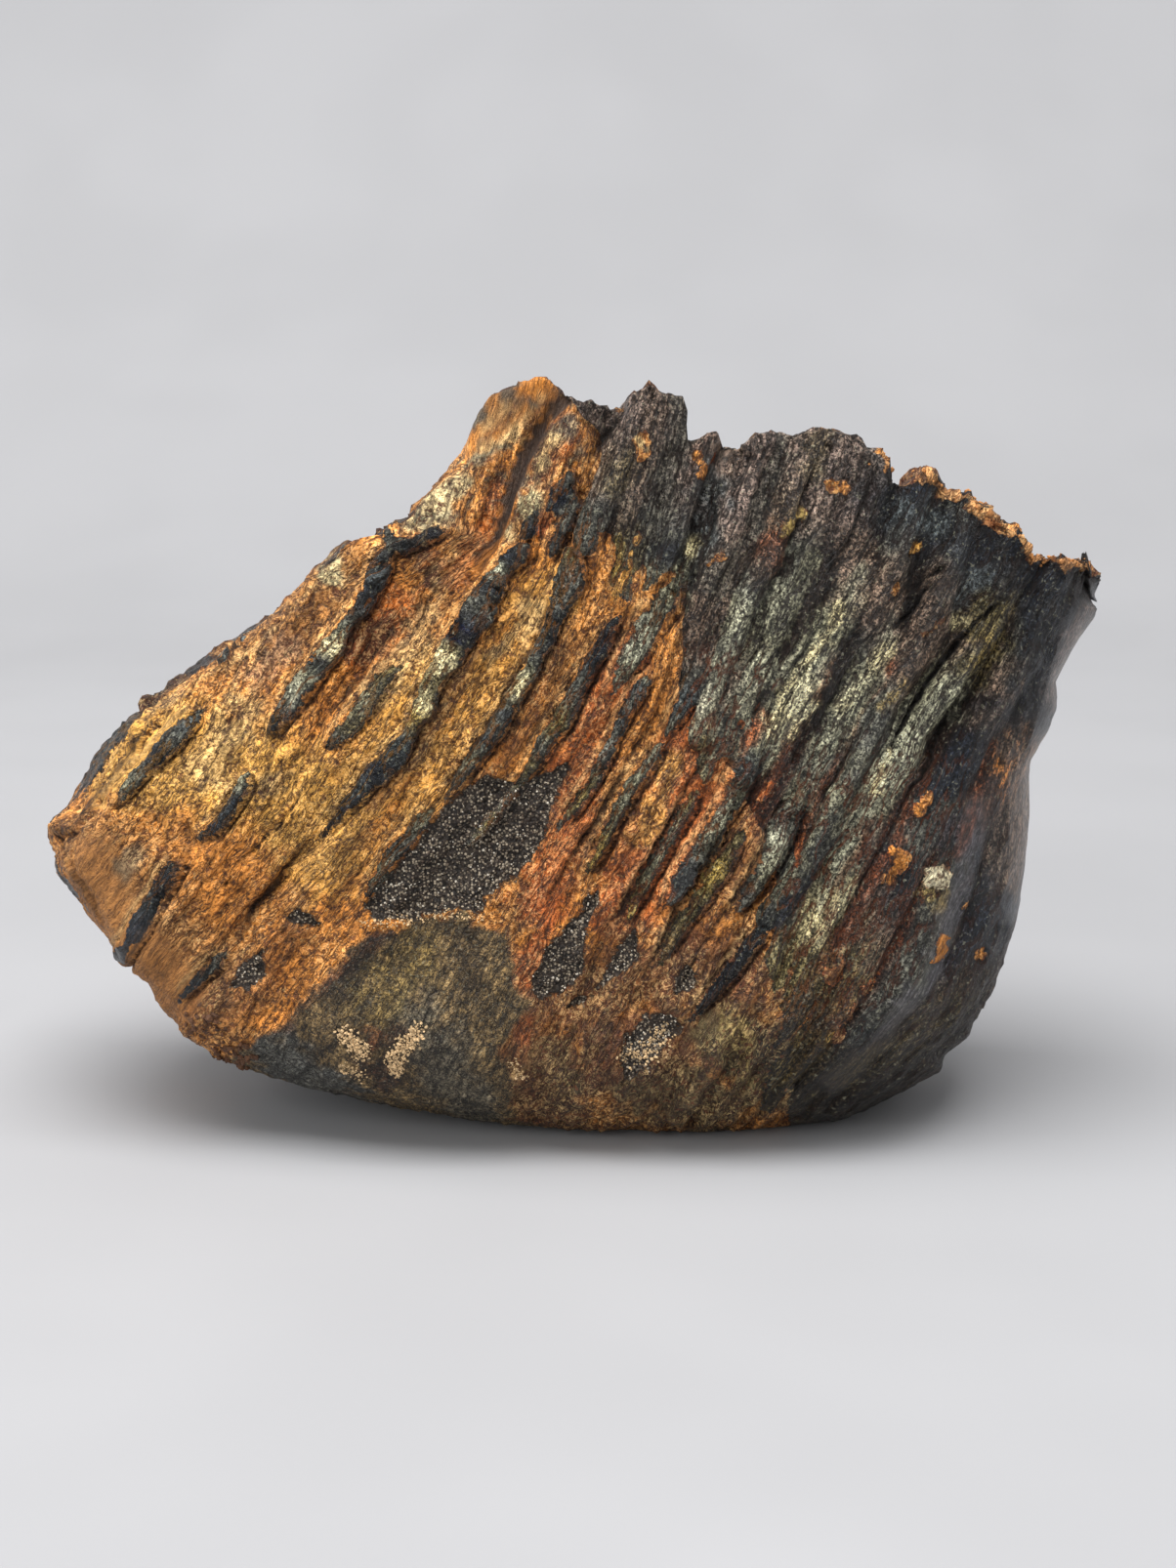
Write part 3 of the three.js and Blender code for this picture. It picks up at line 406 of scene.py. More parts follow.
# Colour washes over the ochre ground: colour, strength, half width, softness, line.
GROUND_WASHES = (
    (GOLD, 1.0, 11, 10, ((-92, 6), (-76, 4), (-60, -2))),
    (GOLD, 0.8, 5, 8, ((-34, 20), (-46, -2), (-56, -16))),
    (GOLD, 0.7, 4, 6, ((-9, 40), (-22, 18), (-34, -2))),
    (DULL_TAN, 0.8, 9, 9, ((-100, -16), (-88, -34), (-78, -42))),
    (DULL_TAN, 0.8, 6, 7, ((-76, 30), (-60, 34), (-56, 42))),
    (RUST, 0.4, 3, 4, ((-78, -46), (-66, -40), (-62, -32))),
    (GOLD, 0.7, 1.2, 1.2, ((-86, 14), (-94, 5), (-101, -4))),
    (STRAW, 0.5, 3, 5, ((-70, 14), (-78, 4))),
    (MAUVE, 0.5, 2.5, 4, ((-62, 27), (-66, 23))),
    (RED_ORANGE, 0.7, 5, 4, ((-34, 46), (-42, 32), (-46, 27))),
    (RUST, 0.9, 2.5, 3, ((-38, 47), (-32, 42))),
    (RUST, 0.9, 3, 3, ((-43, 32), (-46, 28))),
    (OCHRE, 1.0, 1.8, 2, ((-38, 45), (-36.4, 41))),
    (STRAW, 0.5, 1.6, 3, ((-30, 38), (-37, 28), (-44, 18))),
    (STRAW, 0.5, 1.4, 3, ((-24, 50), (-29, 42))),
    (STRAW, 0.6, 1.6, 2, ((-12, 36), (-16, 30), (-19, 27))),
    (RUST, 0.7, 1.4, 2, ((-22, 34), (-29, 18), (-36, 6), (-44, -4))),
    (RUST, 0.6, 1.4, 2, ((-6, 28), (-13, 12), (-22, 0))),
    (RED_ORANGE, 0.85, 5, 5, ((8, 26), (-1, 8), (-5, -10), (-10, -24))),
    (RED_ORANGE, 0.9, 8, 6, ((30, 20), (19, -4), (8, -26))),
    (RUST, 0.5, 5, 5, ((40, 4), (30, -18), (20, -36))),
    (GOLD, 0.6, 1.6, 2, ((18, 4), (14, -6), (11, -12))),
    (OCHRE, 0.8, 1.6, 1.6, ((29, -26), (25, -34))),
    (FOOT_BROWN, 1.0, 9, 6, ((-12, -42), (2, -42), (14, -38), (30, -40))),
    (FOOT_BROWN, 1.0, 9, 6, ((-12, -56), (-8, -68))),
    (FOOT_BROWN, 0.9, 8, 5, ((6, -52), (20, -54))),
    (RUST, 0.6, 1.2, 1.6, ((22, -30), (12, -46), (2, -62))),
    (RUST, 0.6, 1.0, 1.6, ((34, -36), (24, -52), (16, -66))),
    (MOSS_DARK, 0.6, 2, 3, ((4, -50), (-2, -60))),
    (MOSS_DARK, 0.6, 1.6, 3, ((18, -46), (12, -58))),
    (RED_ORANGE, 0.7, 2, 2.4, ((-13, -50), (-10, -60), (-6, -66))),
    (MOSS, 1.0, 7, 5, ((10, -60), (24, -66))),
    (RUST, 0.8, 2, 2.4, ((8, -52), (2, -62))),
    (MOSS_DARK, 1.0, 7, 6, ((32, -52), (46, -60))),
    (RED_ORANGE, 0.8, 2.4, 2.4, ((-12, -23), (-8, -30), (-13, -38))),
    (RUST, 0.7, 2, 2.4, ((24, -48), (20, -53), (14, -58))),
    (OLIVE, 0.9, 5, 5, ((26, -52), (36, -62))),
    (OLIVE_YELLOW, 0.5, 2, 3, ((30, -47), (33, -58))),
    (OLIVE, 0.7, 3, 4, ((-10, -56), (-6, -64))),
    (BLACK_BROWN, 0.8, 12, 8, ((88, 10), (84, -20), (74, -44), (56, -60))),
    (OCHRE, 1.0, 7, 3, ((-19, 77), (-11, 74))),
    (DULL_TAN, 0.6, 7, 3, ((-19, 77), (-11, 74))),
    (STRAW, 0.4, 1.2, 1.6, ((-21, 72.6), (-14.6, 78.6))),
    (STRAW, 0.4, 0.8, 1.0, ((-16, 71), (-9.6, 79))),
    (STRAW, 0.6, 2.0, 2.5, ((-15, 71), (-21, 68.6))),
    (RUST, 0.7, 0.5, 0.7, ((-13, 80), (-18, 73.6), (-22, 70))),
    (RUST, 0.6, 0.4, 0.6, ((-8.4, 78.6), (-13, 72), (-16, 68.6))),
    (CREAM, 0.8, 2.6, 2.5, ((-24, 62), (-29, 59), (-33, 55.6))),
    (SAGE, 0.8, 1.2, 1.5, ((-37, 55), (-32, 54), (-27, 54.4))),
    (SAGE, 0.9, 1.0, 0.7, ((-26, 65.4), (-20, 67.6), (-15, 69.4))),
    (SLATE, 0.8, 0.6, 0.6, ((-25, 64.2), (-20, 66.4), (-17, 67.4))),
    (OCHRE, 0.9, 1.2, 1.2, ((-19, 66), (-14.4, 68))),
    (BLACK_BROWN, 0.95, 1.1, 0.8, ((-21.4, 62.4), (-17.2, 63.4))),
    (BLACK_BROWN, 0.9, 1.0, 0.8, ((-23.6, 59.6), (-24.6, 56.6))),
    (RED_ORANGE, 0.7, 2.4, 2, ((-19, 60), (-23, 50), (-28, 42))),
    (RED_ORANGE, 0.8, 3.4, 3, ((-5, 72), (-7, 66), (-9, 61))),
    (SLATE, 0.9, 1.3, 1.2, ((-3, 74.6), (-6.4, 72))),
    (SLATE, 0.85, 1.0, 1.0, ((-1.4, 69), (-3.4, 66.4))),
    (BLACK_BROWN, 0.85, 1.0, 0.9, ((-8.8, 66.4), (-10.4, 63))),
    (SLATE, 0.9, 1.2, 0.9, ((-13, 63), (-14.6, 59))),
    (MIDNIGHT, 0.9, 1.1, 0.9, ((-10, 57.6), (-11.4, 55))),
    (MIDNIGHT, 0.85, 0.9, 0.9, ((-14.4, 55.6), (-16, 52.6))),
    (STRAW, 0.7, 1.0, 1.2, ((-7, 70), (-9.4, 65))),
    (DARK_RUST, 0.9, 0.8, 0.8, ((-4, 65), (-4.6, 63.6))),
    (CREAM, 1.0, 1.8, 1.0, ((-11.4, 59), (-12.6, 56.8))),
    (RED_ORANGE, 0.9, 1.4, 1.2, ((-8, 54.6), (-9.4, 52))),
    (CREAM, 0.7, 1.0, 1.2, ((-16, 52.6), (-16.6, 51))),
    (SLATE, 0.85, 1.5, 0.8, ((-18.4, 81), (-15.4, 80))),
    (SLATE, 0.8, 1.1, 0.8, ((-12.6, 79.4), (-11, 78))),
    (SLATE, 0.9, 1.0, 0.8, ((-22, 76.6), (-24.6, 71.6))),
    (GROOVE_BROWN, 1.0, 1.6, 0.5, ((-5, 80), (-11.8, 70), (-16, 60), (-19.5, 50), (-21.8, 46))),
    (CREAM, 0.95, 1.5, 1.4, ((-51.4, 44.4), (-53, 42.4))),
    (SAGE, 0.5, 2, 2, ((-64.6, 0), (-65, -1))),
    (SAGE, 0.6, 2.4, 2.4, ((-93.6, -14), (-95, -16))),
    (MIDNIGHT, 0.8, 3, 2, ((36, -56), (40, -58))),
)

# Colour washes over the cement.
CEMENT_WASHES = (
    (BLUE_GREY, 0.8, 4, 4, ((-68, -52), (-58, -60), (-48, -66))),
    (SLATE, 0.7, 4, 5, ((-34, -48), (-30, -58), (-24, -66))),
    (MOSS_DARK, 0.7, 2, 4, ((-40, -30), (-50, -42))),
    (MOSS_DARK, 0.6, 2, 3, ((-26, -30), (-24, -42))),
    (OLIVE_YELLOW, 0.35, 3, 5, ((-36, -34), (-44, -46))),
    (DARK_RUST, 0.8, 2.4, 1.6, ((-48, -52), (-46, -58))),
    (DARK_RUST, 0.8, 2.4, 1.6, ((-38, -52), (-42, -60))),
    (RUST, 0.7, 1.0, 1.4, ((-45, -50), (-43.6, -53))),
    (RUST, 0.5, 0.8, 1.6, ((-62, -49), (-52, -38), (-40, -30))),
    (MOSS_DARK, 0.6, 0.6, 1.2, ((-20, -34), (-30, -50), (-36, -62))),
    (MOSS_DARK, 0.6, 0.5, 1.2, ((-34, -32), (-44, -44), (-56, -56))),
)

# Colour washes over the enamel, in the same order.
# The pale sage and cream lines along the plate crests are partly the crests' own pale colour and partly
# painted highlight.
ENAMEL_WASHES = (
    (MAUVE, 0.6, 12, 12, ((4, 72), (20, 66), (36, 66), (50, 66))),
    (BROWN_GREY, 0.7, 1.8, 3, ((14, 78), (11, 66), (8, 54))),
    (SLATE, 0.7, 1.6, 3, ((20, 76), (17, 66), (14, 56))),
    (OLIVE, 0.6, 1.2, 2, ((8.6, 66), (6, 60))),
    (BROWN_GREY, 0.7, 1.6, 2.4, ((30, 72), (27, 64), (24, 55))),
    (SLATE, 0.7, 1.4, 2.4, ((40, 71), (37, 62), (34, 53))),
    (OLIVE, 0.5, 1.4, 2.4, ((48, 71), (46, 64))),
    (NAVY, 0.85, 6, 6, ((62, 58), (78, 48), (94, 42), (100, 30))),
    (BLUE_GREY, 0.8, 3, 3, ((64, 56), (70, 54))),
    (PALE_SAGE, 0.6, 0.8, 1.5, ((56, 44), (53, 37), (47, 28), (42, 18), (38, 10), (34, 3))),
    (PALE_SAGE, 0.5, 0.8, 1.5, ((62, 34), (60, 28), (56, 20), (52, 12), (48, 4), (44, -4))),
    (PALE_SAGE, 0.6, 0.9, 1.5, ((72, 19), (68, 13), (63, 5), (59, -2), (55, -10), (51, -18), (48, -26))),
    (SAGE, 0.7, 1.2, 1.5, ((46, 46), (42, 36), (38, 27), (33, 18), (29, 9), (24, 0))),
    (PALE_SAGE, 0.6, 0.9, 1.5, ((33, 38), (29, 28), (25, 18), (22, 10))),
    (SAGE, 0.6, 1.4, 1.6, ((20, 38), (14, 26), (9, 16))),
    (SAGE, 0.5, 1.2, 1.6, ((82, 30), (77, 24), (71, 17))),
    (SAGE, 0.6, 1.2, 1.6, ((48, -6), (43, -16), (38, -24), (32, -33))),
    (RUST, 0.7, 0.7, 1.2, ((62, 24), (55, 12), (49, 0), (43, -12))),
    (RUST, 0.7, 0.7, 1.2, ((50, 26), (44, 14), (38, 2), (33, -8))),
    (RED_ORANGE, 0.6, 0.6, 1.0, ((36, 14), (31, 4), (27, -4))),
    (RUST, 0.8, 0.8, 1.4, ((66, -6), (58, -20), (50, -34), (42, -46))),
    (RUST, 0.6, 0.7, 1.4, ((58, -8), (52, -20), (46, -32))),
    (SLATE, 0.6, 6, 6, ((14, 50), (26, 44))),
    (BLUE_GREY, 0.8, 3.5, 3, ((24, 62), (25, 56), (23, 52))),
    (NAVY, 0.9, 5, 5, ((80, 0), (82, -14), (81, -30), (74, -42))),
    (LILAC_GREY, 0.8, 2.2, 2, ((77.6, -5.4), (75, -24), (70, -40), (58, -54))),
    (NAVY, 0.9, 5, 5, ((98, 36), (94, 26), (90, 16))),
    (MAUVE, 0.7, 1.6, 2, ((103, 36), (99, 26), (95, 18))),
    (BROWN_GREY, 0.8, 2.4, 3, ((88, 6), (87, -8), (86, -20))),
    (MOSS_DARK, 0.95, 8, 6, ((82, -44), (70, -54), (52, -64))),
    (OLIVE, 0.3, 2, 3, ((78, -46), (68, -54), (54, -60))),
    (BLACK_BROWN, 0.7, 3, 3, ((78, -50), (66, -59), (50, -66))),
    (OLIVE, 0.6, 5, 6, ((42, -36), (40, -48))),
    (MOSS_DARK, 0.8, 6, 6, ((44, -50), (40, -62))),
    (RUST, 0.7, 0.5, 0.8, ((83.6, 9), (80.4, 0), (77.4, -9), (75.4, -15))),
    (NAVY, 0.9, 2.6, 2, ((-5, 60), (-7, 57))),
    (NAVY, 0.8, 2.4, 2, ((17, 48), (15, 46))),
    (CREAM, 0.9, 1.0, 1.2, ((53.2, 37), (50, 32.6), (48, 29), (45.4, 25.4))),
    (CREAM, 0.8, 2.4, 2.2, ((44.4, 20), (42, 16), (40.4, 13.4))),
    (PALE_SAGE, 0.6, 1.6, 1.5, ((49, 26), (46, 22), (43, 16))),
    (CREAM, 0.7, 1.0, 1.6, ((60.4, 27.4), (57.6, 23), (54.6, 18.6), (52, 15))),
    (PALE_SAGE, 0.7, 2.6, 3, ((57, 20), (55, 16), (52, 12))),
    (OLIVE_YELLOW, 0.6, 0.6, 1.0, ((64, 20.6), (61, 17.4), (59, 15.6))),
    (PALE_SAGE, 0.85, 1.7, 2.0, ((68, 13), (65, 8), (62.6, 4), (61, 1.4))),
    (CREAM, 0.9, 1.0, 1.2, ((62, 6.6), (60, 2), (58.6, -1.2))),
    (PALE_SAGE, 0.6, 1.0, 1.6, ((56.6, -5), (54, -10))),
    (PALE_SAGE, 0.6, 2.4, 2.5, ((37, 24), (34, 22), (32, 17))),
    (CREAM, 0.9, 0.6, 0.8, ((38.6, -11.8), (37, -15))),
    (CREAM, 0.9, 0.7, 1.0, ((50.4, -22.6), (48.4, -26.6), (46, -31.4))),
    (CREAM, 0.8, 0.6, 0.8, ((18, 43.4), (16.6, 41.4))),
    (CREAM, 0.8, 0.7, 1.0, ((21.8, 49.8), (20.8, 48))),
    (OLIVE, 0.8, 3.0, 3.0, ((83.6, 32), (80, 26), (78, 23.4))),
    (OLIVE_YELLOW, 0.6, 1.0, 1.6, ((82, 29), (79, 25))),
    (PALE_SAGE, 0.6, 2.2, 2.4, ((75.4, 20), (72, 15.4))),
    (CREAM, 0.9, 0.8, 1.0, ((77.4, 33.6), (75.6, 32.8))),
    (BLUE_GREY, 0.7, 2.0, 2.4, ((80, 42), (76, 38))),
    (OLIVE_YELLOW, 0.5, 2.6, 1.5, ((71.8, -20), (70.4, -22))),
    (BLACK_BROWN, 0.9, 2.4, 2.4, ((102, 42), (101, 38))),
)

# The way the plates lean, as lines from the broken top to the foot, and how far apart.
PLATE_GUIDES = (
    (0, ((-70, 90), (-82, 30), (-91, 12), (-109, -8), (-125, -30), (-150, -75))),
    (16, ((-20, 90), (-29, 51), (-46, 41), (-63, 15), (-73, -5), (-90, -26), (-125, -75))),
    (32, ((0, 90), (-15, 46), (-31, 23), (-54, -11), (-83, -43), (-105, -75))),
    (44, ((12, 90), (-1, 50), (-12, 23), (-27, 0), (-45, -22), (-62, -47), (-80, -75))),
    (54, ((22, 90), (8, 38), (0, 23), (-16, -2), (-23, -11), (-40, -40), (-58, -75))),
    (62, ((34, 90), (18, 43), (9, 15), (-6, -7), (-25, -40), (-42, -75))),
    (70, ((46, 90), (32, 51), (23, 31), (13, 5), (-1, -18), (-12, -40), (-28, -75))),
    (84, ((76, 90), (60, 50), (46, 26), (37, 7), (23, -17), (5, -48), (-8, -75))),
    (102, ((110, 90), (88, 45), (71, 19), (62, 2), (51, -17), (38, -46), (20, -75))),
    (126, ((135, 90), (104, 40), (94, 12), (86, -15), (72, -45), (40, -75))),
)


# Large odd numbers scramble a cell's place into one that looks random.
CELL_PRIMES = np.array((73856093, 19349663, 83492791))
SEED_PRIME = 2654435761
TURNS = (2246822519, 3266489917, 668265263)
LOW_WORD = 0xFFFF


def numbered(cell, seed):
    return cell @ CELL_PRIMES + seed * SEED_PRIME


def scrambled(number, turn, shift=15):
    return (number ^ number >> shift) * turn & 0xFFFFFFFF


def low_word(number):
    return (number ^ number >> 16) & LOW_WORD


def lattice(points, size, seed):
    """Smooth noise from -1 to 1, with lumps about one size across."""
    place = points / size
    cell = np.floor(place).astype(np.int64)
    within = place - cell
    ease = within ** 3 * (within * (within * 6 - 15) + 10)
    total = np.zeros(len(points))
    for corner in range(8):
        step = np.array((corner & 1, corner >> 1 & 1, corner >> 2 & 1))
        mixed = scrambled(scrambled(numbered(cell + step, seed), TURNS[0]), TURNS[1], 13)
        value = low_word(mixed) / (LOW_WORD / 2) - 1
        total += value * np.where(step, ease, 1 - ease).prod(axis=1)
    return total


def lumps(points, size, seed, octaves=3):
    """Layered noise: each layer is half as big and half as strong as the last."""
    total = np.zeros(len(points))
    for layer in range(octaves):
        total += lattice(points, size / 2 ** layer, seed + layer) / 2 ** layer
    return total / 1.5


def creases(points, size, seed, octaves=3):
    """Layered noise with sharp ridges, from about -1 to 1."""
    total = np.zeros(len(points))
    for layer in range(octaves):
        total += (1 - 3 * np.abs(lattice(points, size / 2 ** layer, seed + layer))) / 2 ** layer
    return total / 1.5


def facets(points, size, seed):
    """Broken-stone noise from about -1 to 1: flat chips about one size across."""
    place = points / size
    cell = np.floor(place).astype(np.int64)
    nearest = np.full(len(points), 9.0)
    level = np.zeros(len(points))
    for step in np.ndindex(3, 3, 3):
        corner = cell + np.array(step) - 1
        mixed = numbered(corner, seed)
        draws = []
        for turn in TURNS:
            mixed = scrambled(mixed, turn)
            draws.append(low_word(mixed) / LOW_WORD)
        draws = np.stack(draws, axis=1)
        offset = place - corner - draws
        away = (offset ** 2).sum(axis=1)
        tilted = draws[:, 0] * 2 - 1 + (offset * (draws[:, ::-1] - 0.5)).sum(axis=1) * 1.6
        level = np.where(away < nearest, tilted, level)
        nearest = np.minimum(nearest, away)
    return level


def soft_step(value, low, high):
    share = np.clip((value - low) / (high - low), 0, 1)
    return share * share * (3 - 2 * share)


def rounded(points):
    """The places of a smooth curve drawn through the points, about a millimetre apart."""
    drawn = np.array(points, float)
    last = len(drawn) - 1
    places = []
    for start in range(last):
        ring = (start - 1, start, start + 1, start + 2)
        before, here, there, after = [drawn[min(max(i, 0), last)] for i in ring]
        steps = max(2, int(np.hypot(*(there - here)[:2]) / 1.2))
        for step in range(steps):
            t = step / steps
            places.append(0.5 * (2 * here + (there - before) * t
                                 + (2 * before - 5 * here + 4 * there - after) * t * t
                                 + (3 * here - before - 3 * there + after) * t ** 3))
    places.append(drawn[-1])
    return np.array(places)


def reach(seen, line, margin):
    """Which seen places lie near the line, how far from it, and how far along it, 0 to 1."""
    in_reach = (seen > line.min(0) - margin) & (seen < line.max(0) + margin)
    near = np.nonzero(np.all(in_reach, axis=1))[0]
    best = np.full(len(near), 1e9)
    share = np.zeros(len(near))
    spot = seen[near]
    for number in range(len(line) - 1):
        start, run = line[number], line[number + 1] - line[number]
        t = np.clip((spot - start) @ run / max(run @ run, 1e-9), 0, 1)
        away = np.hypot(*(spot - start - t[:, None] * run).T)
        closer = away < best
        best = np.where(closer, away, best)
        share = np.where(closer, (number + t) / (len(line) - 1), share)
    return near, best, share


def inside(spot, outline):
    """Whether each spot is inside a closed outline."""
    result = np.zeros(len(spot), bool)
    for start, end in zip(outline[:-1], outline[1:]):
        crosses = (start[1] > spot[:, 1]) != (end[1] > spot[:, 1])
        rise = end[1] - start[1]
        if rise == 0:
            continue
        at = start[0] + (spot[:, 1] - start[1]) / rise * (end[0] - start[0])
        result ^= crosses & (spot[:, 0] < at)
    return result


def depth_inside(seen, points, margin=6):
    """How far each seen place is inside an outline, negative outside, in millimetres."""
    outline = np.array((*points, points[0]), float)
    near, away, _ = reach(seen, outline, margin)
    result = np.full(len(seen), -float(margin))
    result[near] = np.where(inside(seen[near], outline), away, -np.minimum(away, margin))
    return result


def blend_tones(tones, share):
    place = share * (len(tones) - 1)
    lower = np.minimum(place.astype(int), len(tones) - 2)
    part = (place - lower)[:, None]
    table = np.array(tones)
    return table[lower] * (1 - part) + table[lower + 1] * part


def along_rows(rows, share):
    """The rows of a drawn line at each share of its length."""
    place = share * (len(rows) - 1)
    columns = [np.interp(place, np.arange(len(rows)), column) for column in rows.T]
    return np.stack(columns, axis=1)


def wash(layer, side, colour, strength, half, soft, line):
    """Lays one colour over a layer along a line, with a soft, uneven edge."""
    near, away, _ = reach(seen, rounded(line), half + soft + 3)
    away = away + blotches[near] * min(half, 3) + streaky[near] * min(half, 2)
    away = away + grit_edges[near] * min(half, 1.2)
    cover = (1 - soft_step(away, half * 0.6, half * 0.6 + soft)) * strength * side[near]
    layer[near] += (colour - layer[near]) * cover[:, None]


def raise_to(layer, near, level):
    layer[near] = np.maximum(layer[near], level)


def hump(distance, width):
    """1 at no distance, falling away smoothly within about one width."""
    return np.exp(-(distance / width) ** 2)


def tapered(along):
    """1 along the middle of a line, falling off at both ends."""
    return np.sin(np.pi * np.clip(along, 0.02, 0.98)) ** 0.4


def spanned(depth):
    return np.clip(depth, -EDGE_SPAN, EDGE_SPAN)


def corner_rows(mesh, field):
    """A row of three values for each corner of a mesh."""
    values = np.empty(len(mesh.vertices) * 3)
    mesh.vertices.foreach_get(field, values)
    return values.reshape(-1, 3)


def smooth(mesh, corners):
    bmesh.ops.smooth_vert(
        mesh, verts=corners, factor=0.5, use_axis_x=True, use_axis_y=True, use_axis_z=True
    )


def as_mesh(shape, name):
    mesh = bpy.data.meshes.new(name)
    shape.to_mesh(mesh)
    shape.free()
    return mesh


def baked(piece):
    """Gives a piece, as its own mesh, what its modifiers make of it."""
    shaped = piece.evaluated_get(bpy.context.evaluated_depsgraph_get())
    mesh = bpy.data.meshes.new_from_object(shaped)
    mesh.name = piece.name
    piece.modifiers.clear()
    piece.data = mesh
    return mesh


# The skin, merged and made even, then twice as fine on the cheek side.
loose = bmesh.new()
loose.from_mesh(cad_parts["molar"].data)
bmesh.ops.remove_doubles(loose, verts=loose.verts, dist=1e-6)
tooth = placed("fossil_tooth", as_mesh(loose, "tooth_block"))
even = tooth.modifiers.new("even_skin", "REMESH")
even.mode = "VOXEL"
even.voxel_size = SKIN_SPACING * MM
skin_mesh = baked(tooth)

skin = bmesh.new()
skin.from_mesh(skin_mesh)
for _ in range(SKIN_SMOOTHING):
    smooth(skin, skin.verts)
skin.normal_update()
cheek_faces = [
    f for f in skin.faces if f.normal.y < CHEEK_NORMAL and f.calc_center_median().y < CHEEK_BACK
]
cheek_edges = list({e for f in cheek_faces for e in f.edges})
bmesh.ops.subdivide_edges(skin, edges=cheek_edges, cuts=1, use_grid_fill=True)
smooth(skin, list({v for f in skin.faces if f.normal.y < FINE_NORMAL for v in f.verts}))
skin.to_mesh(skin_mesh)
skin.free()

count = len(skin_mesh.vertices)
spots = corner_rows(skin_mesh, "co") * METRE
facing = corner_rows(skin_mesh, "normal")


def as_seen(points):
    """Where points appear in the view, in millimetres, and how much each is enlarged."""
    ray = points - EYE
    enlarged = VIEW_DISTANCE / (ray @ LOOKING)
    return np.stack((ray[:, 0] * enlarged, ray @ UPWARDS * enlarged), axis=1), enlarged


def outline_now(across, outward, first, last):
    """How far out the skin reaches in each narrow strip of the view."""
    strips = np.arange(first, last + STRIP, STRIP)
    reached = np.full(len(strips), -1e3)
    strip = np.clip(np.round((across - first) / STRIP).astype(int), 0, len(strips) - 1)
    within = (across > first - STRIP) & (across < last + STRIP)
    np.maximum.at(reached, strip[within], outward[within])
    for _ in range(2):
        padded = np.pad(reached, 1, "edge")
        reached = (padded[:-2] + 2 * reached + padded[2:]) / 4
    return strips, reached


# The skin is drawn out or in to the broken crest and to both ends.
flat_seen, enlarged = as_seen(spots)
strips, reached = outline_now(flat_seen[:, 0], flat_seen[:, 1], -104, 105)
wanted = np.interp(flat_seen[:, 0], *np.array(CREST_LINE).T)
now = np.interp(flat_seen[:, 0], strips, reached)
nearness = soft_step(flat_seen[:, 1] - now, -16, -1) * soft_step(flat_seen[:, 0], -100, -88)
nearness *= 1 - soft_step(flat_seen[:, 0], 101, 103.5)
spots[:, 2] += np.clip(wanted - now, *CREST_DRAWN) * nearness / enlarged / math.cos(LOOK_DOWN)
below_crest = flat_seen[:, 1] - now
for line, sign, first, last in ((HEEL_EDGE, -1, -40, 12), (FRONT_EDGE, 1, -54, 35)):
    flat_seen, enlarged = as_seen(spots)
    upright = np.array(sorted((w, u) for u, w in line)).T
    strips, reached = outline_now(flat_seen[:, 1], flat_seen[:, 0] * sign, first, last)
    wanted = np.interp(flat_seen[:, 1], *upright) * sign
    now = np.interp(flat_seen[:, 1], strips, reached)
    nearness = soft_step(flat_seen[:, 0] * sign - now, -16, -1)
    along_end = soft_step(flat_seen[:, 1], first - 6, first)
    along_end *= 1 - soft_step(flat_seen[:, 1], last, last + 4)
    nearness *= along_end
    spots[:, 0] += np.clip(wanted - now, *ENDS_DRAWN) * nearness * sign / enlarged

# Where each spot of skin is seen. The tongue side takes the cheek side's place, with its
# plates bent a little differently, because the plates run right through the tooth.
cheek_side = 1 - soft_step(spots[:, 1], 2, 10)
tongue_side = 1 - cheek_side
across = np.abs(spots[:, 1])
bent = across * across / (2 * ROUNDED_BACK) + ROUNDED_BACK / 2
across = np.where(across < ROUNDED_BACK, bent, across)
mirrored = spots.copy()
mirrored[:, 1] = -across
seen, _ = as_seen(mirrored)
blotches = lumps(spots, 3.4, 15)
grit_edges = lumps(spots, 1.7, 16, 2)
seen[:, 0] += lumps(spots, 5.0, 11) * 0.5 + lumps(spots, 26.0, 12, 2) * 5 * tongue_side
seen[:, 1] += lumps(spots, 5.0, 13) * 0.5 + lumps(spots, 26.0, 14, 2) * 4 * tongue_side

guide_places = np.array([n for n, _ in PLATE_GUIDES], float)
guide_lines = np.stack([
    np.interp(seen[:, 1], [p[1] for p in reversed(line)], [p[0] for p in reversed(line)])
    for _, line in PLATE_GUIDES
])
number = np.clip((guide_lines < seen[:, 0]).sum(axis=0), 1, len(PLATE_GUIDES) - 1)
column = np.arange(count)
left, right = guide_lines[number - 1, column], guide_lines[number, column]
share = (seen[:, 0] - left) / (right - left)
over_plates = guide_places[number - 1] * (1 - share) + guide_places[number] * share
down_plates = 0.5 * seen[:, 0] + 0.87 * seen[:, 1]
flow = np.stack((over_plates, down_plates, spots[:, 1]), axis=1)
streaks = np.stack((over_plates, down_plates * 0.18, spots[:, 1] * 0.25), axis=1)
streaky = lumps(streaks, 1.8, 17)
long_strips = np.stack((over_plates, down_plates * 0.06, spots[:, 1] * 0.2), axis=1)
strip_tone = lumps(long_strips, 2.4, 18, 2)

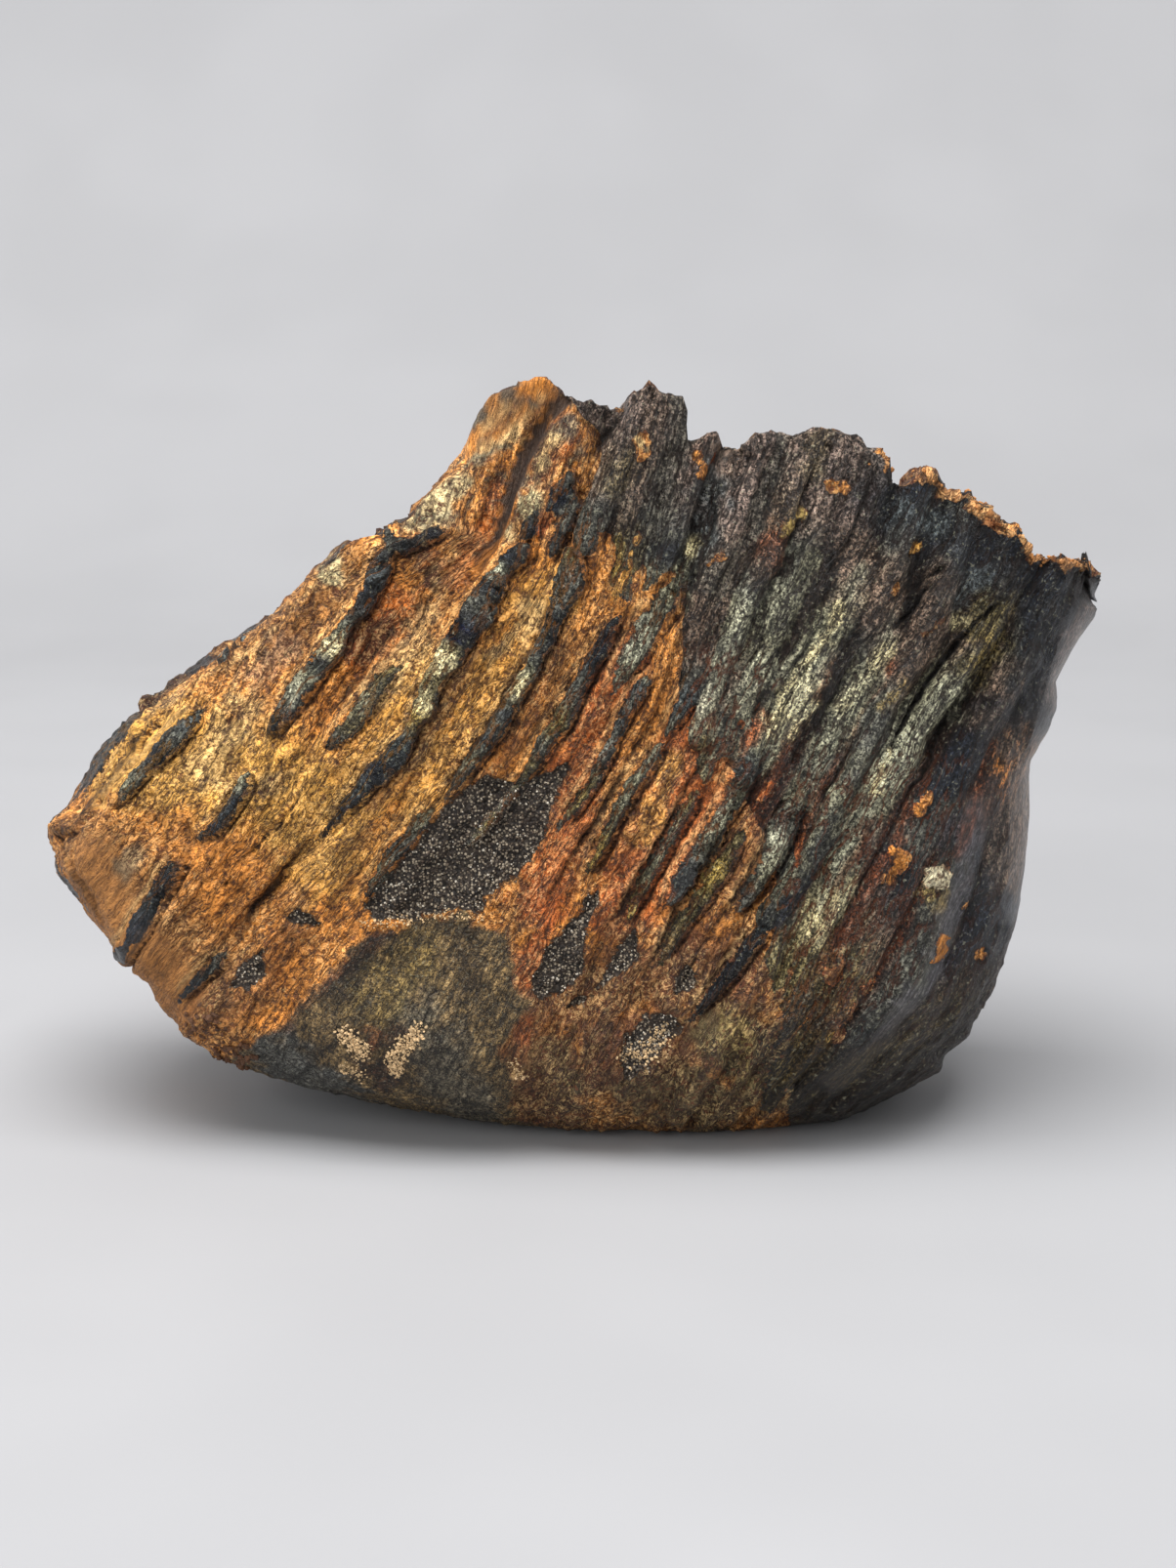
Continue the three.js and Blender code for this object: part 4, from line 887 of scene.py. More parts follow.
# Enamel: the field and its plates, then the ribs, each with its own tones. Grooves
# between plates hold black dirt near the top and rust below.
everywhere = np.ones(count)
field_depth = depth_inside(seen, ENAMEL_FIELD, 18)
rusty = soft_step(-seen[:, 1], -14, 4)[:, None]
enamel_colour = (BLACK_BROWN * 1.3) * (1 - rusty) + (DARK_RUST * 1.2) * rusty
relief = np.full(count, -GROOVE_BED) * soft_step(field_depth, 0, 3)
closeness = np.zeros(count)
for half, rise, tones, line in PLATES:
    near, away, along = reach(seen, rounded(line), half * 1.6)
    wide = half * (1 + 0.12 * lattice(spots[near], 7.0, 33))
    profile = np.cos(np.clip(away / wide / 1.25, 0, 1) * np.pi / 2)
    raise_to(closeness, near, profile)
    lift = (rise * 0.7 + GROOVE_BED) * (0.35 + 0.65 * soft_step(along, 0.02, 0.3))
    level = profile * lift - GROOVE_BED
    higher = level > relief[near]
    shade = soft_step(profile, 0.05, 0.55)[:, None]
    tone = blend_tones(tones, np.clip(along + 0.07 * blotches[near], 0, 1))
    tone = tone * (0.92 + 0.5 * streaky[near, None])
    groove = enamel_colour[near]
    enamel_colour[near] = np.where(higher[:, None], tone * shade + groove * (1 - shade), groove)
    raise_to(relief, near, level)
between_plates = (closeness - 0.62) * 6 + blotches * 1.2
deep_in_field = soft_step(field_depth, 1, 7)
enamel_depth = np.minimum(field_depth + 3, between_plates) * (1 - deep_in_field)
enamel_depth += spanned(field_depth) * deep_in_field
for stroke in ENAMEL_WASHES:
    wash(enamel_colour, everywhere, *stroke)
chipped = facets(spots, 2.2, 74)
moat = np.zeros(count)
lip_and_highlight = np.zeros(count)
foot_shadow = np.zeros(count)
for rise, stations in RIBS:
    drawn = rounded([(u, w, half, *tone) for u, w, half, tone in stations])
    near, away, along = reach(seen, drawn[:, :2], 6)
    here = along_rows(drawn, along)
    heading = along_rows(np.gradient(drawn[:, :2], axis=0), along)
    offset = seen[near] - here[:, :2]
    signed = heading[:, 0] * offset[:, 1] - heading[:, 1] * offset[:, 0]
    below = signed / np.maximum(np.hypot(*heading.T), 1e-6)
    wide = here[:, 2] * (1 + 0.18 * lattice(spots[near], 6.0, 31) + 0.12 * lattice(spots[near], 2.6, 34))
    edge = wide - away + grit_edges[near] * 0.45 + chipped[near] * 0.2
    raise_to(enamel_depth, near, edge)
    on_rib = edge > -0.8
    # Each rib is painted lighter along its crest and on its upper-left side, and darker on its lower-right
    # side: painted light and shade.
    fullness = soft_step(wide - away, 0, wide * 0.8)
    tilt = np.clip(below / np.maximum(wide, 0.5), -1, 1)
    shade = (0.6 + 0.5 * fullness - 0.3 * tilt)[:, None]
    tone = np.clip(here[:, 3:], 0, 1) * shade * (1 + 0.35 * streaky[near, None])
    enamel_colour[near[on_rib]] = tone[on_rib]
    bulge = np.sqrt(np.clip(1 - (away / (wide * 1.25 + 0.1)) ** 2, 0, 1))
    dome = rise * 0.85 * bulge * soft_step(wide, 0.2, 1.2)
    uneven = 1 + 0.3 * lattice(spots[near], 5.0, 32) + 0.3 * chipped[near]
    raise_to(relief, near, dome * uneven)
    present = soft_step(wide, 0.3, 1.2)
    cut = 1.1 * hump(below - wide - 0.6, 0.7) + 0.3 * hump(below + wide + 0.4, 0.5)
    cut *= (np.abs(np.abs(below) - away) < 0.5) * present
    moat[near] = np.minimum(moat[near], -cut)
    foot = 0.7 * hump(below - wide - 0.1, 0.5) * present * (np.abs(below - away) < 0.5)
    raise_to(foot_shadow, near, foot)
    # A raised lip runs along each rib's upper-left edge; its pale colour is a painted highlight.
    raise_to(lip_and_highlight, near, hump(below + wide + 1.1, 0.6) * present * (np.abs(below + away) < 0.5))
relief += np.where(relief > 0.1, 0, moat) + lip_and_highlight * 0.4 * (1 - soft_step(enamel_depth, -0.4, 0.4))

# Ground: ochre dentine and cement, washed with gold, tan and rust.
ground_colour = np.tile(OCHRE, (count, 1))
patchy = soft_step(lumps(streaks, 8.0, 41), -0.5, 0.6)[:, None]
ground_colour = ground_colour * (0.78 + 0.36 * patchy)
under_enamel = DARK_RUST * (1 - rusty) + RED_ORANGE * rusty
ground_colour += (under_enamel - ground_colour) * soft_step(field_depth, 0, 6)[:, None]
for stroke in GROUND_WASHES:
    wash(ground_colour, cheek_side, *stroke)
ground_colour *= 1 + 0.3 * strip_tone[:, None]
# The lips are painted pale straw: a painted highlight on the lit side of the ribs.
ground_colour += (STRAW - ground_colour) * (lip_and_highlight * 0.35)[:, None]

# The foot is painted darker towards the bottom, most in long streaks.
darker_foot = soft_step(-seen[:, 1] + streaky * 4, 40, 64) * soft_step(seen[:, 0], -24, -12)
ground_colour *= 1 - 0.5 * darker_foot[:, None]
enamel_colour *= 1 - 0.3 * darker_foot[:, None]

# Places where the enamel has flaked off and bright dentine shows.
bare_rise = np.zeros(count)
for colour, half, line in BARE_PATCHES:
    near, away, _ = reach(seen, rounded(line), half + 3)
    uneven = (blotches[near] + streaky[near] * 0.7) * min(half, 1.1)
    edge = half * 0.9 - away + uneven + grit_edges[near] * 0.7
    laid_bare = soft_step(edge, -0.2, 0.3) * cheek_side[near]
    ground_colour[near] += (colour * 0.9 - ground_colour[near]) * laid_bare[:, None]
    cut_back = np.minimum(enamel_depth[near], -edge)
    enamel_depth[near] = np.where(cheek_side[near] > 0.5, cut_back, enamel_depth[near])
    raise_to(bare_rise, near, laid_bare * (half > 0.85))

calm = np.zeros(count)
for half, soft, strength, line in CALM_PLACES:
    near, away, _ = reach(seen, rounded(line), half + soft + 2)
    away = away + blotches[near] * min(half, 1.0)
    rubbed = strength * cheek_side[near] * (1 - soft_step(away, half * 0.7, half * 0.7 + soft))
    raise_to(calm, near, rubbed)

# Sand pockets and the cement patch on the cheek side, and others on the tongue side. The
# heel's end has patches of its own, because the plates lie flat to it.
sand_depth = np.full(count, -6.0)
for outline in SAND_POCKETS:
    sand_depth = np.maximum(sand_depth, depth_inside(seen, outline) + grit_edges * 0.8)
sand_depth = sand_depth - 12 * tongue_side
hollow_noise = lumps(spots, 22.0, 51, 2)
sand_depth = np.maximum(sand_depth, (hollow_noise - 0.52) * 14 * tongue_side - 8 * cheek_side)
cement_depth = depth_inside(seen, CEMENT_PATCH) + blotches * 1.6 + streaky * 1.2 - 12 * tongue_side
low_side = lumps(spots, 30.0, 52, 2) * 9 + (20 - spots[:, 2]) * 0.5
cement_depth = np.maximum(cement_depth, low_side - 12 * cheek_side)
cement_depth = spanned(cement_depth)
heel_face = soft_step(-facing[:, 0], 0.4, 0.7) * soft_step(spots[:, 1], -38, -28)
enamel_depth -= heel_face * (1.4 + lumps(spots, 13.0, 82) * 4)
sand_depth -= heel_face * (1.0 + lumps(spots, 11.0, 83) * 3)
enamel_depth = spanned(enamel_depth)
sand_depth = spanned(sand_depth)

enamel_depth = np.where(cement_depth > 1.5, np.minimum(enamel_depth, -1), enamel_depth)
cemented = soft_step(cement_depth, -0.6, 0.8)
ground_colour += (MOSS * (1 + 0.25 * blotches[:, None]) - ground_colour) * cemented[:, None]
for stroke in CEMENT_WASHES:
    wash(ground_colour, cheek_side * cemented, *stroke)
in_sand = soft_step(sand_depth, -0.5, 1.2) * (1 - soft_step(enamel_depth, -0.4, 0.6))
in_cement = cemented * (1 - in_sand)

# The broken top shows the plates in section: thin enamel walls across the tooth, with
# dentine between the walls of one plate and cement between plates.
in_view = soft_step(-facing @ LOOKING, 0.2, 0.45) * cheek_side
left_slope = cheek_side * (1 - soft_step(seen[:, 0], -62, -48))
broken_face = soft_step(facing[:, 2], 0.42, 0.68) * (1 - in_view) * (1 - left_slope)
section = (over_plates / PLATE_PITCH) % 1
wall = np.minimum(np.abs(section - 0.34), np.abs(section - 0.66)) * PLATE_PITCH
section_depth = 0.75 - wall + blotches * 0.3
enamel_depth = enamel_depth * (1 - broken_face) + spanned(section_depth) * broken_face
within_plate = soft_step(1.6 - np.abs(section - 0.5) * PLATE_PITCH, -0.4, 0.4)[:, None]
section_ground = OCHRE * within_plate + RUST * (1 - within_plate)
far_right = soft_step(seen[:, 0], 55, 75)[:, None]
section_ground = section_ground * (0.55 + 0.75 * far_right)
shown = broken_face[:, None]
ground_colour = ground_colour * (1 - shown) + section_ground * (0.8 + 0.25 * blotches[:, None]) * shown
in_enamel = soft_step(enamel_depth, -0.4, 0.6)
bare_ground = (1 - in_enamel) * (1 - in_sand) * (1 - in_cement)

# Relief: fibres along the plates in the ground, pits under the sand, cracks, and a
# rougher break along the top.
ridges = creases(long_strips, 2.4, 61, 2)
fibres = creases(streaks, 1.5, 70, 2)
chips = lumps(spots, 2.0, 63, 2)
broken_bits = facets(spots * np.array((1, 1, 0.8)), 3.0, 71)
rough_here = 1 - 0.8 * calm
relief += bare_ground * rough_here * (ridges * 0.65 + fibres * 0.3 + broken_bits * 0.22)
relief += bare_ground * rough_here * (lumps(spots, 6.0, 62) * 0.6 + chips * 0.35)
plaits = creases(long_strips, 2.1, 75, 2)
relief += in_enamel * rough_here * (plaits * 0.42 + creases(streaks, 2.6, 64) * 0.25 + chips * 0.2)
relief += bare_rise * (0.3 + facets(spots, 2.6, 72) * 0.4)
relief = relief * (1 - in_sand) - in_sand * (1.7 + lumps(spots, 2.4, 66) * 0.6)
relief += in_cement * (0.4 - relief * 0.5 + lumps(spots, 3.2, 67) * 0.45 + ridges * 0.25)
stepped = np.round(lumps(streaks, 7.0, 68, 2) * 3) / 3
crest_edge = soft_step(below_crest, -7, -1) * (1 - calm)
jagged = 0.2 + 0.5 * soft_step(seen[:, 0], -26, -6)
relief += crest_edge * (1 - broken_face) * facets(spots, 4.5, 73) * jagged
relief += broken_face * (stepped + facets(spots, 3.6, 69)) * jagged
dark_cracks_and_shadow = np.zeros(count)
for half, deep, line in GROOVES:
    near, away, along = reach(seen, rounded(line), half * 3 + 1)
    ends = tapered(along)
    relief[near] -= deep * ends * hump(away, half)
    raise_to(dark_cracks_and_shadow, near, 0.55 * hump(away, half * 0.9) * ends)
for half, deep, line in CRACKS:
    near, away, along = reach(seen, rounded(line), half * 3 + 1)
    away = np.abs(away + grit_edges[near] * 0.3)
    ends = tapered(along)
    relief[near] -= deep * ends * hump(away, half * ends + 0.05) * cheek_side[near]
    cover = hump(away, half * 1.1) * min(1.0, deep * 0.6) * cheek_side[near]
    raise_to(dark_cracks_and_shadow, near, cover)
resting = soft_step(-facing[:, 2], 0.8, 0.97) * (1 - soft_step(spots[:, 2], 0.8, 3))
relief = relief * (1 - resting)

formed = spots + facing * relief[:, None]
low = np.array(solid_box[0]) * METRE
high = np.array(solid_box[1]) * METRE
formed = np.clip(formed, low, high)
skin_mesh.vertices.foreach_set("co", (formed * MM).ravel())
skin_mesh.update()
for face in skin_mesh.polygons:
    face.use_smooth = True

# Hollows are painted darker, a painted shade: how far each spot lies below its neighbours.
edge_pairs = np.empty(len(skin_mesh.edges) * 2, np.int64)
skin_mesh.edges.foreach_get("vertices", edge_pairs)
edge_pairs = edge_pairs.reshape(-1, 2)
neighbours = np.bincount(edge_pairs.ravel(), minlength=count).clip(1)
height = relief.copy()
for _ in range(6):
    summed = np.bincount(edge_pairs[:, 0], height[edge_pairs[:, 1]], count)
    summed += np.bincount(edge_pairs[:, 1], height[edge_pairs[:, 0]], count)
    height = height * 0.3 + summed / neighbours * 0.7
hollow_shade = np.clip((height - relief) * 0.9, -1, 1)

# The painted shadow along the foot of each rib is laid in with the dark cracks.
dark_cracks_and_shadow = np.maximum(dark_cracks_and_shadow, foot_shadow * (1 - in_enamel * 0.6))
wear_and_shade = np.stack((calm, hollow_shade, dark_cracks_and_shadow), axis=1)
edges = np.stack((enamel_depth, sand_depth, cement_depth), axis=1)

opaque = np.ones((count, 1))
for name, values in (("ground", ground_colour), ("enamel", enamel_colour)):
    layer = skin_mesh.attributes.new(name, "FLOAT_COLOR", "POINT")
    layer.data.foreach_set("color", np.concatenate((values, opaque), axis=1).ravel())
for name, values in (("edges", edges), ("wear_and_shade", wear_and_shade), ("flow", flow)):
    layer = skin_mesh.attributes.new(name, "FLOAT_VECTOR", "POINT")
    layer.data.foreach_set("vector", values.ravel())

# Grains are strewn on this fine skin. The tooth keeps fewer faces, most where it is rough.
corner_lists = [list(face.vertices) for face in skin_mesh.polygons]
face_corners = np.array([(c[0], c[1], c[2]) for c in corner_lists])
face_far_corners = np.array([(c[0], c[2], c[-1]) for c in corner_lists])
triangle_count = sum(len(corners) - 2 for corners in corner_lists)
fewer = tooth.modifiers.new("fewer_faces", "DECIMATE")
fewer.ratio = min(1.0, MOST_TRIANGLES / triangle_count)
fine_mesh = skin_mesh
skin_mesh = baked(tooth)
bpy.data.meshes.remove(fine_mesh)


def keep_in_box(mesh):
    """Brings any corner that stands outside the solid's box back to the box."""
    corners = np.clip(corner_rows(mesh, "co"), low * MM, high * MM)
    mesh.vertices.foreach_set("co", corners.ravel())
    mesh.update()


keep_in_box(skin_mesh)


class Finish:
    """A material's nodes, made and joined in short words."""

    def __init__(self, name):
        self.material = bpy.data.materials.new(name)
        self.material.use_nodes = True
        self.nodes = self.material.node_tree.nodes
        self.links = self.material.node_tree.links
        self.nodes.clear()
        self.shader = self.nodes.new("ShaderNodeBsdfPrincipled")
        output = self.nodes.new("ShaderNodeOutputMaterial")
        self.links.new(self.shader.outputs["BSDF"], output.inputs["Surface"])

    def give(self, socket, value):
        if isinstance(value, bpy.types.NodeSocket):
            self.links.new(value, socket)
        elif isinstance(value, np.ndarray):
            socket.default_value = (*value, 1.0) if socket.type == "RGBA" else tuple(value)
        else:
            socket.default_value = value

    def node(self, kind, inputs, **settings):
        """The outputs of a new node, once its settings and then its inputs are given."""
        made = self.nodes.new("ShaderNode" + kind)
        for setting, choice in settings.items():
            setattr(made, setting, choice)
        for socket, value in inputs.items():
            self.give(made.inputs[socket], value)
        return made.outputs

    def kept(self, name, output="Vector"):
        return self.node("Attribute", {}, attribute_name=name)[output]

    def parts(self, vector):
        return self.node("SeparateXYZ", {0: vector})

    def place(self):
        return self.node("TexCoord", {})["Object"]

    def stretched(self, vector, factors):
        return self.node("VectorMath", {0: vector, 1: factors}, operation="MULTIPLY")[0]

    def noise(self, vector, scale, detail=4.0, rough=0.55, bent=0.0):
        inputs = {"Vector": vector, "Scale": scale, "Detail": detail, "Roughness": rough, "Distortion": bent}
        return self.node("TexNoise", inputs)["Fac"]

    def cells(self, vector, scale, output="Distance", feature="F1"):
        return self.node("TexVoronoi", {"Vector": vector, "Scale": scale}, feature=feature)[output]

    def maths(self, operation, first, second=0.0):
        return self.node("Math", {0: first, 1: second}, operation=operation)[0]

    def ramp(self, value, low, high, start=0.0, end=1.0):
        inputs = {"Value": value, "From Min": low, "From Max": high, "To Min": start, "To Max": end}
        return self.node("MapRange", inputs, interpolation_type="SMOOTHSTEP")["Result"]

    def mix(self, share, first, second):
        return self.node("Mix", {0: share, 6: first, 7: second}, data_type="RGBA")[2]

    def blend(self, share, first, second):
        return self.node("Mix", {0: share, 2: first, 3: second})[0]

    def scaled(self, colour, amount):
        return self.node("VectorMath", {0: colour, "Scale": amount}, operation="SCALE")[0]

    def bump(self, height, distance, strength=1.0):
        return self.node("Bump", {"Strength": strength, "Distance": distance, "Height": height})["Normal"]

    def shaded(self, colour, *steps):
        """A colour made from dark to light as each noise runs from low to high."""
        for value, low, high, darkest, lightest in steps:
            colour = self.scaled(colour, self.ramp(value, low, high, darkest, lightest))
        return colour

    def stained(self, colour, *steps):
        """A colour with each stain laid over it as its noise runs from low to high."""
        for value, low, high, strength, stain in steps:
            colour = self.mix(self.ramp(value, low, high, 0.0, strength), colour, stain)
        return colour

    def folded(self, value, times):
        """A noise folded at its middle, so that 0 runs along thin winding lines."""
        centred = self.maths("SUBTRACT", self.maths("MULTIPLY", value, times), times / 2)
        return self.maths("ABSOLUTE", centred)

    def summed(self, total, *parts):
        for value, weight in parts:
            total = self.maths("ADD", total, self.maths("MULTIPLY", value, weight))
        return total


fossil = Finish("fossil_tooth")
place = fossil.place()
flowing = fossil.kept("flow")


def along_flow(factors, detail=3.0, rough=0.6, bent=0.0):
    """Noise drawn out along the plates, finer the larger its factors are."""
    return fossil.noise(fossil.stretched(flowing, factors), 1.0, detail, rough, bent)


seam_noise = along_flow((0.62, 0.1, 0.16))
wrinkle = along_flow((1.15, 0.48, 0.65), bent=0.9)
flake_place = fossil.stretched(flowing, (0.5, 0.24, 0.35))
flake_bend = fossil.maths("MULTIPLY", wrinkle, 0.9)
wander = fossil.node("VectorMath", {0: flake_place, 1: flake_bend}, operation="ADD")[0]
flake_edge = fossil.cells(wander, 1.0, "Distance", "DISTANCE_TO_EDGE")
flake_tint = fossil.parts(fossil.cells(wander, 1.0, "Color"))[0]
streak = along_flow((2.0, 0.2, 0.4), 4.0, 0.7)
crumble = fossil.noise(place, 800.0, 3.0, 0.7)
speck = fossil.noise(place, 2200.0, 1.0, 0.6)
cloud = fossil.noise(place, 150.0, 3.0, 0.6)
worm = along_flow((3.3, 1.2, 2.2), 3.0, 0.65, 0.8)
plait = along_flow((1.15, 0.09, 0.25), 2.0)
fleck = fossil.noise(place, 1200.0, 2.0, 0.6)
pit = along_flow((1.5, 0.9, 1.1), 4.0, 0.7)
fibre = along_flow((4.5, 0.3, 0.8))
into_enamel, into_sand, into_cement = fossil.parts(fossil.kept("edges"))
calm_here, hollow_shade_here, crack_and_shadow_here = fossil.parts(fossil.kept("wear_and_shade"))
ragged = fossil.maths("MULTIPLY", fossil.maths("SUBTRACT", crumble, 0.5), 2.8)
enamel_edge = fossil.maths("ADD", into_enamel, ragged)
enamel_cover = fossil.ramp(enamel_edge, -0.1, 0.12)
sand_cover = fossil.ramp(fossil.maths("ADD", into_sand, ragged), -0.1, 0.3)
cement_cover = fossil.ramp(fossil.maths("ADD", into_cement, ragged), -0.3, 0.5)

# Wrinkles stand up as thin crests with a painted highlight, and the ochre between them is
# painted darker as shade. Long strips of them are parted by dark seams. Calm places keep
# only fine streaks.
crest = fossil.folded(wrinkle, 4.0)
seam = fossil.folded(seam_noise, 8.0)
bare_tone = fossil.kept("ground", "Color")
smooth_ground = fossil.shaded(bare_tone, (streak, 0.38, 0.62, 0.6, 1.25))
smooth_ground = fossil.stained(smooth_ground, (fibre, 0.54, 0.62, 0.7, DARK_RUST))
crest_highlight = fossil.mix(0.4, fossil.scaled(bare_tone, 1.8), STRAW)
ground = fossil.shaded(
    bare_tone,
    (crest, 0.9, 0.15, 0.55, 1.4),
    (cloud, 0.35, 0.65, 0.75, 1.25),
    (plait, 0.36, 0.62, 0.72, 1.18),
)
wrinkled = fossil.ramp(fossil.noise(place, 90.0, 2.0), 0.38, 0.6, 0.2, 1.0)
crest_highlight_share = fossil.maths("MULTIPLY", fossil.ramp(crest, 0.3, 0.05), wrinkled)
ground = fossil.mix(crest_highlight_share, ground, crest_highlight)
ground = fossil.shaded(ground, (flake_tint, 0.0, 1.0, 0.78, 1.2))
flake_line = fossil.maths("MULTIPLY", fossil.ramp(flake_edge, 0.05, 0.01, 0.0, 0.6), wrinkled)
ground = fossil.mix(flake_line, ground, DARK_RUST)
ground = fossil.stained(
    ground,
    (pit, 0.43, 0.37, 0.85, RUST),
    (fleck, 0.6, 0.68, 0.35, STRAW),
    (crumble, 0.46, 0.36, 0.8, RUST),
    (seam, 0.3, 0.0, 0.8, DARK_RUST),
)
ground = fossil.mix(calm_here, ground, smooth_ground)
# Hollows in the ochre are painted dark rust: painted shade.
ground = fossil.stained(ground, (hollow_shade_here, 0.1, 0.6, 0.8, DARK_RUST))

# Enamel has a tight winding grain, its crests painted lighter and its gaps darker, partly its
# own colour and partly painted light and shade; pale flecks that are painted glints; and black
# pores. Its rim is dark.
enamel_tone = fossil.kept("enamel", "Color")
smooth_enamel = fossil.shaded(
    enamel_tone,
    (streak, 0.38, 0.62, 0.5, 1.4),
    (fibre, 0.42, 0.58, 0.45, 1.6),
    (fleck, 0.4, 0.6, 0.7, 1.3),
)
grain_crest = fossil.folded(worm, 4.0)
enamel = fossil.shaded(
    enamel_tone,
    (grain_crest, 0.75, 0.1, 0.45, 1.6),
    (fibre, 0.42, 0.58, 0.65, 1.4),
    (fleck, 0.4, 0.6, 0.4, 1.6),
    (plait, 0.36, 0.62, 0.5, 1.5),
)
seam_colour = fossil.mix(0.45, fossil.scaled(bare_tone, 0.55), BLACK_BROWN)
enamel = fossil.stained(
    enamel,
    (fleck, 0.6, 0.68, 0.6, PALE_SAGE),
    (seam, 0.4, 0.05, 0.85, seam_colour),
    (speck, 0.47, 0.37, 0.85, BLACK_BROWN * 0.5),
)
enamel = fossil.mix(calm_here, enamel, smooth_enamel)
# Hollows in the enamel are painted near black: painted shade.
enamel = fossil.stained(
    enamel,
    (hollow_shade_here, 0.1, 0.6, 0.8, BLACK_BROWN),
    (enamel_edge, 0.6, 0.1, 0.5, NAVY),
)

# Cement is dull and crumbly, and sand is pale grit in a dark matrix.
# Its wrinkle crests are painted lighter and the hollows between them darker: painted light and shade, as on
# the ochre.
cement = fossil.shaded(
    bare_tone,
    (crumble, 0.4, 0.6, 0.5, 1.25),
    (plait, 0.36, 0.64, 0.6, 1.35),
    (streak, 0.38, 0.62, 0.65, 1.4),
    (crest, 0.9, 0.1, 0.7, 1.4),
)
cement = fossil.stained(
    cement,
    (seam, 0.3, 0.0, 0.5, BLACK_BROWN),
    (flake_edge, 0.06, 0.01, 0.7, BLACK_BROWN),
)
cement = fossil.shaded(cement, (cloud, 0.35, 0.65, 0.75, 1.25))
cement = fossil.stained(
    cement,
    (speck, 0.62, 0.7, 0.3, PALE_SAGE),
    (speck, 0.42, 0.34, 0.8, BLACK_BROWN),
)
grit = fossil.cells(place, 1500.0)
grit_tint = fossil.parts(fossil.cells(place, 1500.0, "Color"))[0]
grain = fossil.maths("MULTIPLY", fossil.ramp(grit, 0.5, 0.3), fossil.ramp(grit_tint, 0.3, 0.95))
sand = fossil.mix(fossil.ramp(crumble, 0.4, 0.65), SAND_DARK * 0.7, SAND_DARK * 3.2)
sand = fossil.mix(grain, sand, SAND_PALE)

skin_colour = fossil.mix(cement_cover, ground, cement)
skin_colour = fossil.mix(sand_cover, skin_colour, sand)
skin_colour = fossil.mix(enamel_cover, skin_colour, enamel)
# Cracks are painted near black, and with them the painted shadow along the foot of each rib.
skin_colour = fossil.mix(crack_and_shadow_here, skin_colour, BLACK_BROWN * 0.3)
fossil.give(fossil.shader.inputs["Base Color"], skin_colour)

roughness = fossil.blend(enamel_cover, 0.62, 0.32)
roughness = fossil.blend(fossil.ramp(crumble, 0.35, 0.7, 0.0, 0.3), roughness, 0.6)
fossil.give(fossil.shader.inputs["Roughness"], roughness)
coat = fossil.maths("MULTIPLY", fossil.maths("MULTIPLY", calm_here, enamel_cover), 0.25)
fossil.give(fossil.shader.inputs["Coat Weight"], coat)
fossil.shader.inputs["Coat Roughness"].default_value = 0.3
fossil.shader.inputs["Specular IOR Level"].default_value = 0.45

seams_cut = fossil.ramp(seam, 0.6, 0.0)
pits_cut = fossil.ramp(pit, 0.36, 0.46, 0.0, 1.2)
ground_height = fossil.maths("SUBTRACT", fossil.ramp(crest, 0.9, 0.0), seams_cut)
ground_height = fossil.summed(ground_height, (crumble, 1.2), (pits_cut, 1.0))
enamel_height = fossil.maths("SUBTRACT", fossil.ramp(grain_crest, 0.8, 0.0), seams_cut)
enamel_height = fossil.summed(enamel_height, (crumble, 1.2), (fleck, 0.8))
sand_height = fossil.summed(crumble, (grit, -1.2))
calm_height = fossil.summed(fossil.maths("MULTIPLY", fibre, 2.0), (crumble, 0.8))
height_here = fossil.blend(enamel_cover, ground_height, enamel_height)
height_here = fossil.blend(calm_here, height_here, calm_height)
height_here = fossil.blend(sand_cover, height_here, sand_height)
fossil.give(fossil.shader.inputs["Normal"], fossil.bump(height_here, 0.0006, 1.0))
skin_mesh.materials.clear()
skin_mesh.materials.append(fossil.material)

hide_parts("molar")
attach(tooth, "root")


# Sand grains. River sand is caked in the pockets, quartz and feldspar in a dark matrix,
# each grain pressed nearly half its height into the dirt.
GRAIN_SIZE = (0.1, 0.25)
GRAIN_COUNT = 4800
GRAIN_TINTS = (pigment(150, 136, 116), pigment(226, 216, 198), pigment(104, 88, 72), pigment(70, 58, 50))
GRAIN_SHARES = (0.34, 0.12, 0.3, 0.24)
HANDFUL = 40

chance = np.random.default_rng(7)


def skin_places(cover, count_wanted):
    """Random places on the skin where the cover is, each with the way it faces."""
    triangles = np.concatenate((face_corners, face_far_corners))
    a, b, c = (formed[triangles[:, i]] for i in range(3))
    cross = np.cross(b - a, c - a)
    area = np.linalg.norm(cross, axis=1)
    weight = area * cover[triangles].mean(axis=1)
    picked = chance.choice(len(triangles), count_wanted, p=weight / weight.sum())
    first = chance.random(count_wanted)
    second = chance.random(count_wanted)
    folded = first + second > 1
    first = np.where(folded, 1 - first, first)[:, None]
    second = np.where(folded, 1 - second, second)[:, None]
    points = a[picked] + first * (b - a)[picked] + second * (c - a)[picked]
    return points, cross[picked] / area[picked, None]


